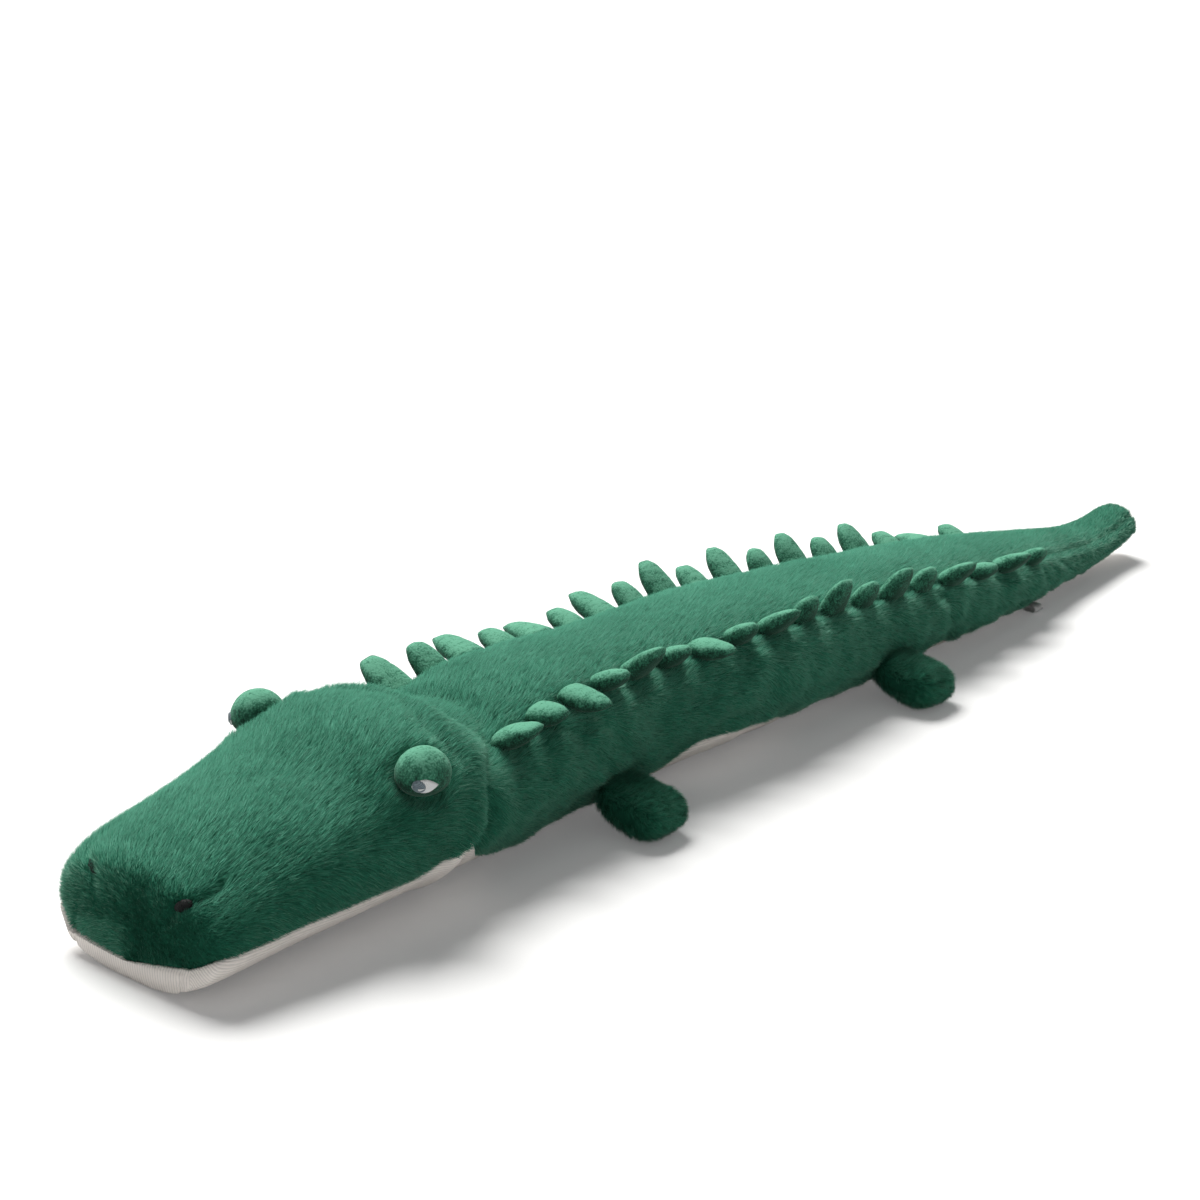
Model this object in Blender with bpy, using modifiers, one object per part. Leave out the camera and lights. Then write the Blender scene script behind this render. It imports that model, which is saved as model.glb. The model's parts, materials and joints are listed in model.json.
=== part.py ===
"""Plush crocodile lying on its belly, head toward -Y, tail toward +Y, left side toward +X."""
import math

import bmesh
import bpy
import numpy
from mathutils import Matrix, Vector

# Lengths along the body are measured from the tip of the nose. All sizes are in metres.
head_length = 0.320
head_half_width = 0.115
brow_height = 0.156
neck_half_width = 0.103
neck_height = 0.124
trunk_length = 0.680
trunk_half_width = 0.091
trunk_height = 0.134
tail_length = 0.400
tail_root_half_width = 0.076
tail_root_height = 0.100
tail_tip_lift = 0.022
nose_bulge = 0.003
tail_end_bulge = 0.008
nose_round_length = 0.080
tail_round_length = 0.060
resting_flat_depth = 0.0005
nose_seam_dip = 0.0150
total_length = head_length + trunk_length + tail_length

# Rows of distance, half width, height and lift, as shares of the sizes of each region.
nose_distance_share = nose_bulge / head_length
tail_end_distance_share = 1 - tail_end_bulge / tail_length
head_shares = (
    (nose_distance_share, 0.63, 0.29, 0.000),
    (0.040, 0.81, 0.53, 0.000),
    (0.095, 0.855, 0.61, 0.000),
    (0.250, 0.885, 0.71, 0.000),
    (0.500, 0.945, 0.83, 0.000),
    (0.740, 0.99, 0.985, 0.000),
    (0.880, 0.93, 0.955, 0.000),
)
trunk_shares = (
    (0.140, 1.05, 1.06),
    (0.340, 0.94, 1.02),
    (0.560, 1.02, 0.975),
    (0.780, 0.925, 0.87),
)
tail_shares = (
    (0.300, 0.85, 0.83, 0.00),
    (0.600, 0.64, 0.59, 0.10),
    (0.870, 0.456, 0.405, 0.49),
    (tail_end_distance_share, 0.37, 0.39, 0.82),
)
nose_section_power = 2.3
nose_section_length = 0.120
section_power = 2.3
under_section_power = 2.05
tail_section_power = 2.1

# The seam between the green cover and the cream underside, as angles round the section.
seam_angle_shares = (
    (0.000, 4.0),
    (0.006, 1.0),
    (0.020, -7.0),
    (0.040, -12.0),
    (0.071, -17.0),
    (0.111, -21.0),
    (0.148, -24.0),
    (0.180, -20.0),
    (0.240, -26.0),
    (0.330, -27.0),
    (0.390, -25.0),
    (0.440, -27.0),
    (0.500, -34.0),
    (0.620, -43.0),
    (0.820, -50.0),
    (0.900, -58.0),
    (0.994, -55.0),
)
seam_gap = 0.0009
end_seam_gap = 0.0050

# Fabric, filling and the clearances between sewn pieces.
plush_thickness = 0.0025
rib_thickness = 0.0020
lining_gap = 0.0010
seat_gap = 0.0003
body_gap = 0.0007

# Rings and columns of the covers' meshes.
ring_step = 0.050
nose_ring_shares = (0.0094, 0.022, 0.040, 0.070, 0.110, 0.170, 0.250)
side_columns = 7
back_columns = 8
under_columns = 7
under_flat_angle = 6.0
cap_share = 0.55
loft_overrun = 2 * ring_step

# Joints: the neck and the tail turn about upright axes inside the trunk.
neck_turn_radius = 0.118
neck_turn_distance = 0.408
tail_turn_radius = 0.097
tail_turn_distance = 0.936
turn_gap = 0.0005
turn_segments = 96
cut_overrun = 0.020
cut_half_width = 0.180

# Spikes: two rows of stuffed velvet petals sewn into the shoulder seams.
spike_count = 18
trunk_spike_count = 15
first_spike_distance = 0.345
left_row_shift = -0.003
right_row_shift = 0.009
spike_pitch_front = 0.0405
spike_pitch_back = 0.0530
spike_row_angle_front = 48.0
spike_row_angle_back = 37.0
large_spike_length = 0.0425
large_spike_height = 0.0400
small_spike_length = 0.0370
small_spike_height = 0.0280
spike_thickness = 0.0145
spike_root_depth = 0.0060
spike_taper_share = 0.12
spike_back_share = 0.84
spike_lay_angle = 48.0
left_lay_shares = (
    0.77, 1.08, 1.25, 0.60, 0.23, 0.46, 0.98, 0.40, 0.42,
    -0.15, -0.23, -0.10, -0.13, -0.21, 0.25, 0.56, 0.40, 0.25,
)
right_lay_shares = (
    0.65, 0.45, 0.93, 0.82, 1.05, 0.68, 0.65, 0.33, 0.21,
    0.43, 0.22, 0.03, 0.05, 0.10, 0.13, 0.46, 1.00, 0.45,
)

# Legs: flat stuffed paddles hinged along the belly seam.
leg_names = ("foreleg", "hind_leg")
leg_distances = (0.457, 0.859)
leg_half_lengths = (0.0285, 0.0290)
leg_reach = 0.0570
leg_half_thickness = 0.0205
leg_floor_gap = 0.0008
leg_power = 2.5
leg_root_radius = 0.0100
leg_root_angle = -29.0
leg_root_gap = 0.0003
leg_upper_angle = 26.0
leg_lower_angle = -60.0
leg_inner_reach = 0.0160

# Eyes: velvet domes on the brow with an embroidered white and iris.
eye_distance = 0.219
left_eye_side_share = 0.860
right_eye_side_share = 0.797
eye_height_share = 0.8035
eye_radius = 0.0210
eye_length_radius = 0.0230
gaze = Vector((0.51, -0.79, -0.34)).normalized()
stitch_thickness = 0.0008
eye_white_half_width = 0.0110
eye_white_half_height = 0.0075
iris_half_width = 0.0056
iris_half_height = 0.0056
iris_shift = 0.0024

# Nostrils, the blank label loop and their seats.
nostril_distance = 0.0110
nostril_angle = 56.0
nostril_length = 0.0075
nostril_width = 0.0035
nostril_height = 0.0030
label_distance = 1.158
label_width = 0.0140
label_reach = 0.0110
label_fold_height = 0.0016
label_thickness = 0.0005

last_spike_distance = first_spike_distance + (spike_count - 1) * (spike_pitch_front + spike_pitch_back) / 2
nose_y = -total_length / 2
neck_axis = Vector((0, nose_y + neck_turn_distance, 0))
tail_axis = Vector((0, nose_y + tail_turn_distance, 0))

model_name = "plush_crocodile"
cutter_name = "cutters"


def clear_scene():
    for item in list(bpy.data.objects):
        bpy.data.objects.remove(item, do_unlink=True)


def new_collection(name):
    collection = bpy.data.collections.new(name)
    bpy.context.scene.collection.children.link(collection)
    return collection


def principled(name, color, roughness):
    material = bpy.data.materials.new(name)
    material.use_nodes = True
    shader = material.node_tree.nodes["Principled BSDF"]
    shader.inputs["Base Color"].default_value = (*color, 1)
    shader.inputs["Roughness"].default_value = roughness
    shader.inputs["Metallic"].default_value = 0
    return material


class MonotoneCurve:
    """A smooth curve through points that never overshoots them."""

    def __init__(self, xs, ys):
        self.xs = numpy.array(xs, float)
        self.ys = numpy.array(ys, float)
        steps = numpy.diff(self.xs)
        rises = numpy.diff(self.ys) / steps
        slopes = numpy.zeros(len(self.xs))
        slopes[0] = rises[0]
        slopes[-1] = rises[-1]
        for i in range(1, len(rises)):
            if rises[i - 1] * rises[i] > 0:
                before = 2 * steps[i] + steps[i - 1]
                after = steps[i] + 2 * steps[i - 1]
                slopes[i] = (before + after) / (before / rises[i - 1] + after / rises[i])
        self.steps = steps
        self.slopes = slopes

    def __call__(self, x):
        x = min(max(x, self.xs[0]), self.xs[-1])
        i = min(int(numpy.searchsorted(self.xs, x, side="right")) - 1, len(self.steps) - 1)
        step = self.steps[i]
        t = (x - self.xs[i]) / step
        start = (1 + 2 * t) * (1 - t) ** 2 * self.ys[i] + t * (1 - t) ** 2 * step * self.slopes[i]
        end = t * t * (3 - 2 * t) * self.ys[i + 1] - t * t * (1 - t) * step * self.slopes[i + 1]
        return float(start + end)


def body_rows():
    rows = []
    for along, width, height, lift in head_shares:
        size = (head_half_width * width, brow_height * height, brow_height * lift)
        rows.append((head_length * along, *size))
    rows.append((head_length, neck_half_width, neck_height, 0))
    for along, width, height in trunk_shares:
        distance = head_length + trunk_length * along
        rows.append((distance, trunk_half_width * width, trunk_height * height, 0))
    tail_start = head_length + trunk_length
    rows.append((tail_start, tail_root_half_width, tail_root_height, 0))
    for along, width, height, lift in tail_shares:
        size = (tail_root_half_width * width, tail_root_height * height, tail_tip_lift * lift)
        rows.append((tail_start + tail_length * along, *size))
    return rows


profile = list(zip(*body_rows()))
half_width_at = MonotoneCurve(profile[0], profile[1])
height_at = MonotoneCurve(profile[0], profile[2])
lift_at = MonotoneCurve(profile[0], profile[3])
seam_at = MonotoneCurve(
    [share * total_length for share, angle in seam_angle_shares],
    [angle for share, angle in seam_angle_shares],
)


def section_power_at(distance, angle):
    """The section is boxiest at the nose, tucked in below its widest line and rounder at the tail."""
    nose = max(1 - distance / nose_section_length, 0)
    tail = max(distance - head_length - trunk_length, 0) / tail_length
    power = section_power if math.sin(math.radians(angle)) > 0 else under_section_power
    power += (nose_section_power - power) * nose
    return power + (tail_section_power - power) * tail


def signed_power(value, power):
    return math.copysign(abs(value) ** power, value)


def end_share(distance):
    """1 at the nose, -1 at the end of the tail and 0 between the two rounded ends."""
    from_nose = distance / nose_round_length
    from_tail = (total_length - distance) / tail_round_length
    return max(1 - from_nose, 0) - max(1 - from_tail, 0)


def body_point(distance, angle, inset=0):
    """A point of the body's skin at an angle in degrees round its section, moved in by inset."""
    power = 2 / section_power_at(distance, angle)
    half_height = height_at(distance) / 2
    turn = math.radians(angle)
    x = (half_width_at(distance) - inset) * signed_power(math.cos(turn), power)
    rise = (half_height - inset) * signed_power(math.sin(turn), power)
    z = max(lift_at(distance) + half_height + rise - resting_flat_depth, inset)
    return Vector((x, nose_y + distance + inset * end_share(distance), z))


def body_normal(distance, angle):
    step = ring_step / 20
    turn = 1.0
    along = body_point(distance + step, angle) - body_point(distance - step, angle)
    around = body_point(distance, angle + turn) - body_point(distance, angle - turn)
    return along.cross(around).normalized()


def ring_distances(start, end):
    rings = [share * head_length for share in nose_ring_shares]
    last = total_length - tail_end_bulge
    count = round((last - rings[-1]) / ring_step)
    for i in range(1, count + 1):
        rings.append(rings[-1] + (last - rings[-1]) / (count + 1 - i))
    return [distance for distance in rings if start <= distance <= end]


def seam_gap_angle(distance):
    """Half of the seam's gap, as an angle of the section. The tight ends need a wider gap."""
    gap = seam_gap + (end_seam_gap / 2 - seam_gap) * abs(end_share(distance))
    return math.degrees(gap / height_at(distance))


def shoulder_angle(distance):
    """Where the seam between the back and a side runs: the spikes are sewn into it."""
    share = (distance - first_spike_distance) / (last_spike_distance - first_spike_distance)
    share = min(max(share, 0), 1)
    return spike_row_angle_front + (spike_row_angle_back - spike_row_angle_front) * share


def column_angles(distance, start, end, columns, gaps=True):
    gap = seam_gap_angle(distance) if gaps else 0
    angles = [start + (end - start) * i / columns for i in range(columns + 1)]
    angles[0] += gap
    angles[-1] -= gap
    return angles


def left_side_angles(distance, gaps=True):
    return column_angles(distance, seam_at(distance), shoulder_angle(distance), side_columns, gaps)


def back_angles(distance, gaps=True):
    shoulder = shoulder_angle(distance)
    return column_angles(distance, shoulder, 180 - shoulder, back_columns, gaps)


def right_side_angles(distance, gaps=True):
    start = 180 - shoulder_angle(distance)
    return column_angles(distance, start, 180 - seam_at(distance), side_columns, gaps)


def cover_angles(distance, gaps=True):
    """The sides and the back in one piece, with gaps at the belly seams only."""
    left = left_side_angles(distance, False)
    back = back_angles(distance, False)
    right = right_side_angles(distance, False)
    angles = left + back[1:] + right[1:]
    gap = seam_gap_angle(distance) if gaps else 0
    return [angles[0] + gap] + angles[1:-1] + [angles[-1] - gap]


def under_angles(distance):
    """Angles of the underside, with one flat column where it rests."""
    high = seam_at(distance)
    low = -90 + min(under_flat_angle, (high + 90) / 2)
    side = (under_columns - 1) // 2
    right = [high + (low - high) * i / side for i in range(side + 1)]
    right[0] -= seam_gap_angle(distance)
    return right + [-180 - angle for angle in reversed(right)]


def whole_angles(distance):
    """Angles of a closed ring: the cover's columns and then the underside's."""
    under = under_angles(distance)[1:-1]
    return cover_angles(distance, False) + [angle + 360 for angle in reversed(under)]


def end_apex(end_distance, ring_distance, inset, drop):
    """The middle of an end face, on the seam's level."""
    level = body_point(ring_distance, seam_at(ring_distance), inset)
    y = nose_y + end_distance
    return Vector((0, y, level.z - drop))


def end_rings(ring, apex):
    """A smaller ring on the way to the end face's middle."""
    middle = [point.lerp(apex, cap_share) for point in ring]
    bulge = (apex.y - ring[0].y) * math.sqrt(cap_share)
    for point, source in zip(middle, ring):
        point.y = source.y + bulge
    return middle


def add_rows(bm, rows, closed):
    """Join rows of points with quads. Each row runs the same way round the body."""
    grid = [[bm.verts.new(point) for point in row] for row in rows]
    count = len(grid[0])
    columns = count if closed else count - 1
    for front, back in zip(grid, grid[1:]):
        for i in range(columns):
            j = (i + 1) % count
            bm.faces.new((front[i], back[i], back[j], front[j]))
    return grid


def add_fan(bm, row, apex, closed, flipped):
    tip = bm.verts.new(apex)
    count = len(row)
    columns = count if closed else count - 1
    for i in range(columns):
        j = (i + 1) % count
        face = (row[i], row[j], tip) if not flipped else (row[j], row[i], tip)
        bm.faces.new(face)


def mesh_object(name, bm, material, collection):
    mesh = bpy.data.meshes.new(name)
    bm.normal_update()
    bm.to_mesh(mesh)
    bm.free()
    item = bpy.data.objects.new(name, mesh)
    if material is not None:
        mesh.materials.append(material)
    collection.objects.link(item)
    return item


def body_surface(name, span, angles_at, inset, ends, closed, drop, material, collection):
    """Loft the body's skin between two distances. ends says which end faces are closed."""
    distances = ring_distances(*span)
    rows = []
    for distance in distances:
        rows.append([body_point(distance, angle, inset) for angle in angles_at(distance)])
    nose, tail = ends
    if nose:
        nose_apex = end_apex(inset, distances[0], inset, drop + nose_seam_dip)
        rows.insert(0, end_rings(rows[0], nose_apex))
    if tail:
        tail_apex = end_apex(total_length - inset, distances[-1], inset, drop)
        rows.append(end_rings(rows[-1], tail_apex))
    bm = bmesh.new()
    grid = add_rows(bm, rows, closed)
    if nose:
        add_fan(bm, grid[0], nose_apex, closed, False)
    elif closed:
        bm.faces.new(grid[0])
    if tail:
        add_fan(bm, grid[-1], tail_apex, closed, True)
    elif closed:
        bm.faces.new(list(reversed(grid[-1])))
    return mesh_object(name, bm, material, collection)


def add_thickness(item, thickness, offset=-1):
    solid = item.modifiers.new("fabric thickness", "SOLIDIFY")
    solid.thickness = thickness
    solid.offset = offset
    solid.use_even_offset = False


def add_boolean(item, cutter, operation="DIFFERENCE"):
    cut = item.modifiers.new(operation.lower() + " " + cutter.name, "BOOLEAN")
    cut.object = cutter
    cut.operation = operation
    cut.solver = "EXACT"


def make_cutter(item):
    item.hide_render = True
    item.display_type = "WIRE"
    return item


def outline_prism(name, points, depth, matrix, collection):
    """A closed prism on an outline in the local XY plane, centred on it along local Z."""
    bm = bmesh.new()
    verts = [bm.verts.new((x, y, -depth / 2)) for x, y in points]
    face = bm.faces.new(verts)
    top = bmesh.ops.extrude_face_region(bm, geom=[face])["geom"]
    moved = [vert for vert in top if isinstance(vert, bmesh.types.BMVert)]
    bmesh.ops.translate(bm, verts=moved, vec=(0, 0, depth))
    bmesh.ops.recalc_face_normals(bm, faces=bm.faces)
    bm.transform(matrix)
    return mesh_object(name, bm, None, collection)


def turn_cylinder(name, axis, radius, collection):
    height = brow_height + 2 * cut_overrun
    bm = bmesh.new()
    bmesh.ops.create_cone(
        bm, cap_ends=True, segments=turn_segments, radius1=radius, radius2=radius, depth=height,
    )
    bm.transform(Matrix.Translation(axis + Vector((0, 0, brow_height / 2))))
    return make_cutter(mesh_object(name, bm, None, collection))


def turn_block(name, axis, radius, side, reach, collection):
    """The space beyond a turning face: a block with the round face cut out of its near edge."""
    arc = []
    for i in range(turn_segments // 2 + 1):
        turn = 2 * math.pi * i / turn_segments
        arc.append((-radius * math.cos(turn), side * radius * math.sin(turn)))
    edge = cut_half_width
    outline = arc + [(edge, 0), (edge, side * reach), (-edge, side * reach), (-edge, 0)]
    height = brow_height + 2 * cut_overrun
    place = Matrix.Translation(axis + Vector((0, 0, brow_height / 2)))
    return make_cutter(outline_prism(name, outline, height, place, collection))


def make_cutters(collection):
    neck_reach = neck_turn_radius + 2 * loft_overrun
    tail_reach = tail_turn_radius + 2 * loft_overrun
    whole = body_surface(
        "body_clearance", (0, total_length), whole_angles, -body_gap, (True, True), True, 0,
        None, collection,
    )
    return {
        "head": turn_cylinder("neck_turn", neck_axis, neck_turn_radius + turn_gap, collection),
        "tail": turn_cylinder("tail_turn", tail_axis, tail_turn_radius + turn_gap, collection),
        "neck_keep": turn_cylinder("neck_keep", neck_axis, neck_turn_radius, collection),
        "tail_keep": turn_cylinder("tail_keep", tail_axis, tail_turn_radius, collection),
        "trunk_front": turn_block("neck_block", neck_axis, neck_turn_radius, -1, neck_reach, collection),
        "trunk_back": turn_block("tail_block", tail_axis, tail_turn_radius, 1, tail_reach, collection),
        "body": make_cutter(whole),
    }


def region_spans():
    """Where each region's loft starts and ends, with an overrun past its turning faces."""
    neck_horn = neck_turn_distance - math.sqrt(neck_turn_radius ** 2 - neck_half_width ** 2)
    tail_horn = tail_turn_distance + math.sqrt(tail_turn_radius ** 2 - tail_root_half_width ** 2)
    trunk_front = neck_turn_distance - neck_turn_radius
    trunk_back = tail_turn_distance + tail_turn_radius
    return {
        "head": (0, min(neck_horn + ring_step, neck_turn_distance - cut_overrun)),
        "trunk": (trunk_front - loft_overrun, trunk_back + loft_overrun),
        "tail": (max(tail_horn - ring_step, tail_turn_distance + cut_overrun), total_length),
    }


def make_panel(region, name, angles_at, ends, drop, thickness, material, cutters, collection):
    panel = body_surface(
        name, region_spans()[region], angles_at, 0, ends, False, drop, material, collection,
    )
    if angles_at is under_angles:
        panel.data.flip_normals()
    add_thickness(panel, thickness)
    for cutter in cutters:
        add_boolean(panel, cutter)


def make_stuffing(region, name, ends, material, cutters, collection):
    lining = plush_thickness + lining_gap
    stuffing = body_surface(
        name, region_spans()[region], whole_angles, lining, ends, True, 0, material, collection,
    )
    for cutter in cutters:
        add_boolean(stuffing, cutter)


def make_region(region, ends, cutters, greens, under_name, materials, collection):
    """A region's green panels, its cream underside panel and the stuffing inside them."""
    for name, angles_at in greens:
        make_panel(
            region, name, angles_at, ends, -end_seam_gap / 2, plush_thickness,
            materials["plush"], cutters, collection,
        )
    make_panel(
        region, under_name, under_angles, ends, end_seam_gap / 2, rib_thickness,
        materials["rib"], cutters, collection,
    )
    make_stuffing(region, region + "_stuffing", ends, materials["fill"], cutters, collection)


def spike_places():
    places = []
    distance = first_spike_distance
    for i in range(spike_count):
        places.append(distance)
        share = i / (spike_count - 2)
        distance += spike_pitch_front + (spike_pitch_back - spike_pitch_front) * share
    return places


def petal_mesh(length, height):
    """A stuffed petal with its root below the local XY plane and its rounded tip up local Z."""
    bm = bmesh.new()
    bmesh.ops.create_uvsphere(bm, u_segments=10, v_segments=8, radius=1)
    for vert in bm.verts:
        level = vert.co.z
        taper = 1 - spike_taper_share * max(level, 0)
        vert.co.x *= spike_thickness / 2 * taper
        vert.co.y *= length / 2 * taper
        vert.co.z *= height if level > 0 else spike_root_depth
    return bm


def trim_spike(spike, index, cutters):
    """Cut the spike's root by the body, and keep a spike beside a turning face clear of it."""
    add_boolean(spike, cutters["body"])
    if index == 0:
        add_boolean(spike, cutters["neck_keep"], "INTERSECT")
    if index == trunk_spike_count - 1:
        add_boolean(spike, cutters["tail_keep"], "INTERSECT")
    if index == trunk_spike_count:
        add_boolean(spike, cutters["tail"])


def make_spike(name, side, index, distance, material, cutters, collection):
    share = index / (spike_count - 1)
    angle = shoulder_angle(distance)
    size = 1 - (1 - spike_back_share) * share
    large = index % 2 == 0
    length = large_spike_length if large else small_spike_length
    height = (large_spike_height if large else small_spike_height) * size
    lay = (left_lay_shares if side > 0 else right_lay_shares)[index] * math.radians(spike_lay_angle)
    root = body_point(distance, angle)
    normal = body_normal(distance, angle)
    along = (body_point(distance + ring_step / 8, angle) - root).normalized()
    up = Matrix.Rotation(lay, 3, along) @ normal
    across = along.cross(up)
    frame = Matrix((across, along, up)).transposed().to_4x4()
    bm = petal_mesh(length, height)
    bm.transform(Matrix.Translation(root) @ frame)
    if side < 0:
        bm.transform(Matrix.Scale(-1, 4, (1, 0, 0)))
        bmesh.ops.reverse_faces(bm, faces=bm.faces)
    trim_spike(mesh_object(name, bm, material, collection), index, cutters)


def make_spikes(material, cutters, collection):
    for side_name, side in (("left", 1), ("right", -1)):
        for i, distance in enumerate(spike_places()):
            name = f"{side_name}_spike_{i + 1:02d}"
            shift = left_row_shift if side > 0 else right_row_shift
            make_spike(name, side, i, distance + shift, material, cutters, collection)


def leg_frame(distance, half_length):
    """The left leg's hinge: a line that follows the belly seam, one root radius off the skin."""
    front = body_point(distance - half_length, leg_root_angle)
    back = body_point(distance + half_length, leg_root_angle)
    along = (back - front).normalized()
    outward = Vector((along.y, -along.x, 0)).normalized()
    up = outward.cross(along)
    skin = body_point(distance, leg_root_angle)
    normal = body_normal(distance, leg_root_angle)
    axis = skin + normal * (leg_root_radius + leg_root_gap)
    frame = Matrix((outward, along, up)).transposed().to_4x4()
    return axis, frame


def leg_keep_outline():
    """The leg's side outline that stays free of the trunk as it swings: a round root and a wedge."""
    upper = math.radians(leg_upper_angle)
    lower = math.radians(leg_lower_angle)
    reach = 2 * leg_reach
    root = []
    for i in range(13):
        turn = upper + math.pi / 2 + (math.pi + lower - upper) * (i / 12)
        root.append((leg_root_radius * math.cos(turn), leg_root_radius * math.sin(turn)))
    side = []
    for turn in (lower, upper):
        side.append((reach * math.cos(turn), reach * math.sin(turn)))
    return root + side


def make_leg(name, side, distance, half_length, material, cutters, collection):
    axis, frame = leg_frame(distance, half_length)
    half_reach = (leg_reach + leg_inner_reach) / 2
    bm = bmesh.new()
    bmesh.ops.create_uvsphere(bm, u_segments=16, v_segments=10, radius=1)
    power = 2 / leg_power
    for vert in bm.verts:
        vert.co.x = signed_power(vert.co.x, power) * half_reach
        vert.co.y = signed_power(vert.co.y, power) * half_length
        vert.co.z = signed_power(vert.co.z, power) * leg_half_thickness
    rise = leg_floor_gap + leg_half_thickness - axis.z
    bm.transform(frame @ Matrix.Translation((half_reach - leg_inner_reach, 0, rise)))
    leg = mesh_object(name, bm, material, collection)
    turn = frame @ Matrix.Rotation(math.pi / 2, 4, "X")
    keep = outline_prism(name + "_swing", leg_keep_outline(), 4 * half_length, turn, cutters)
    make_cutter(keep)
    for item in (leg, keep):
        if side < 0:
            item.data.transform(Matrix.Scale(-1, 4, (1, 0, 0)))
            item.data.flip_normals()
        item.location = (side * axis.x, axis.y, axis.z)
    add_boolean(leg, keep, "INTERSECT")


def make_legs(material, cutters, collection):
    for side_name, side in (("left", 1), ("right", -1)):
        for name, distance, half_length in zip(leg_names, leg_distances, leg_half_lengths):
            make_leg(f"{side_name}_{name}", side, distance, half_length, material, cutters, collection)


def eye_centre(side):
    share = left_eye_side_share if side > 0 else right_eye_side_share
    across = share * half_width_at(eye_distance)
    return Vector((side * across, nose_y + eye_distance, eye_height_share * height_at(eye_distance)))


def stitched_patch(name, side, half_width, half_height, shift, lift, material, cutter, collection):
    """A thin embroidered oval lying on the front of an eye dome."""
    centre = eye_centre(side)
    centre.x = abs(centre.x)
    level = Vector((0, 0, 1)).cross(gaze).normalized()
    up = gaze.cross(level)
    bm = bmesh.new()
    bmesh.ops.create_circle(bm, cap_ends=True, cap_tris=True, segments=16, radius=1)
    rim = [edge for edge in bm.edges if any(len(vert.link_edges) > 3 for vert in edge.verts)]
    bmesh.ops.subdivide_edges(bm, edges=rim, cuts=1)
    for vert in bm.verts:
        across = vert.co.x * half_width + shift
        toward = gaze * eye_radius + level * across + up * (vert.co.y * half_height)
        ray = toward.normalized()
        scaled = Vector((ray.x / eye_radius, ray.y / eye_length_radius, ray.z / eye_radius))
        vert.co = centre + ray * (1 / scaled.length + lift)
    if side < 0:
        bm.transform(Matrix.Scale(-1, 4, (1, 0, 0)))
    bmesh.ops.recalc_face_normals(bm, faces=bm.faces)
    face = next(iter(bm.faces))
    middle = eye_centre(side)
    if face.normal.dot(face.calc_center_median() - middle) < 0:
        bmesh.ops.reverse_faces(bm, faces=bm.faces)
    patch = mesh_object(name, bm, material, collection)
    add_thickness(patch, stitch_thickness, 1)
    add_boolean(patch, cutter)


def make_eye(side_name, side, materials, cutter, collection):
    bm = bmesh.new()
    bmesh.ops.create_uvsphere(bm, u_segments=20, v_segments=12, radius=1)
    bm.transform(Matrix.Diagonal((eye_radius, eye_length_radius, eye_radius, 1)))
    bm.transform(Matrix.Translation(eye_centre(side)))
    dome = mesh_object(f"{side_name}_eye_dome", bm, materials["velvet"], collection)
    add_boolean(dome, cutter)
    white_lift = seat_gap
    iris_lift = white_lift + stitch_thickness + seat_gap
    stitched_patch(
        f"{side_name}_eye_white", side, eye_white_half_width, eye_white_half_height, 0,
        white_lift, materials["white_thread"], cutter, collection,
    )
    stitched_patch(
        f"{side_name}_iris", side, iris_half_width, iris_half_height, -iris_shift,
        iris_lift, materials["blue_thread"], cutter, collection,
    )


def make_nostril(side_name, side, material, cutter, collection):
    skin = body_point(nostril_distance, nostril_angle)
    normal = body_normal(nostril_distance, nostril_angle)
    level = normal.cross(Vector((0, 0, 1))).normalized()
    up = level.cross(normal)
    frame = Matrix((level, up, normal)).transposed().to_4x4()
    bm = bmesh.new()
    bmesh.ops.create_uvsphere(bm, u_segments=12, v_segments=8, radius=1)
    bm.transform(Matrix.Diagonal((nostril_length, nostril_width, nostril_height, 1)))
    bm.transform(Matrix.Translation(skin) @ frame)
    if side < 0:
        bm.transform(Matrix.Scale(-1, 4, (1, 0, 0)))
        bmesh.ops.reverse_faces(bm, faces=bm.faces)
    nostril = mesh_object(f"{side_name}_nostril", bm, material, collection)
    add_boolean(nostril, cutter)


def make_label(material, collection):
    """A blank tape folded into a loop, with both ends at the seam and the fold pointing out."""
    angle = seam_at(label_distance)
    half_fold = label_fold_height / 2
    seat = seat_gap + half_fold + label_thickness / 2
    root = body_point(label_distance, angle) + body_normal(label_distance, angle) * seat
    outline = [(0, half_fold), (label_reach - half_fold, half_fold)]
    for i in range(1, 6):
        turn = math.pi / 2 - math.pi * i / 6
        outline.append((label_reach - half_fold + half_fold * math.cos(turn), half_fold * math.sin(turn)))
    outline += [(label_reach - half_fold, -half_fold), (0, -half_fold)]
    bm = bmesh.new()
    rows = []
    for side in (-1, 1):
        rows.append([root + Vector((x, side * label_width / 2, z)) for x, z in outline])
    add_rows(bm, rows, False)
    label = mesh_object("label_loop", bm, material, collection)
    add_thickness(label, label_thickness, 0)


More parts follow.
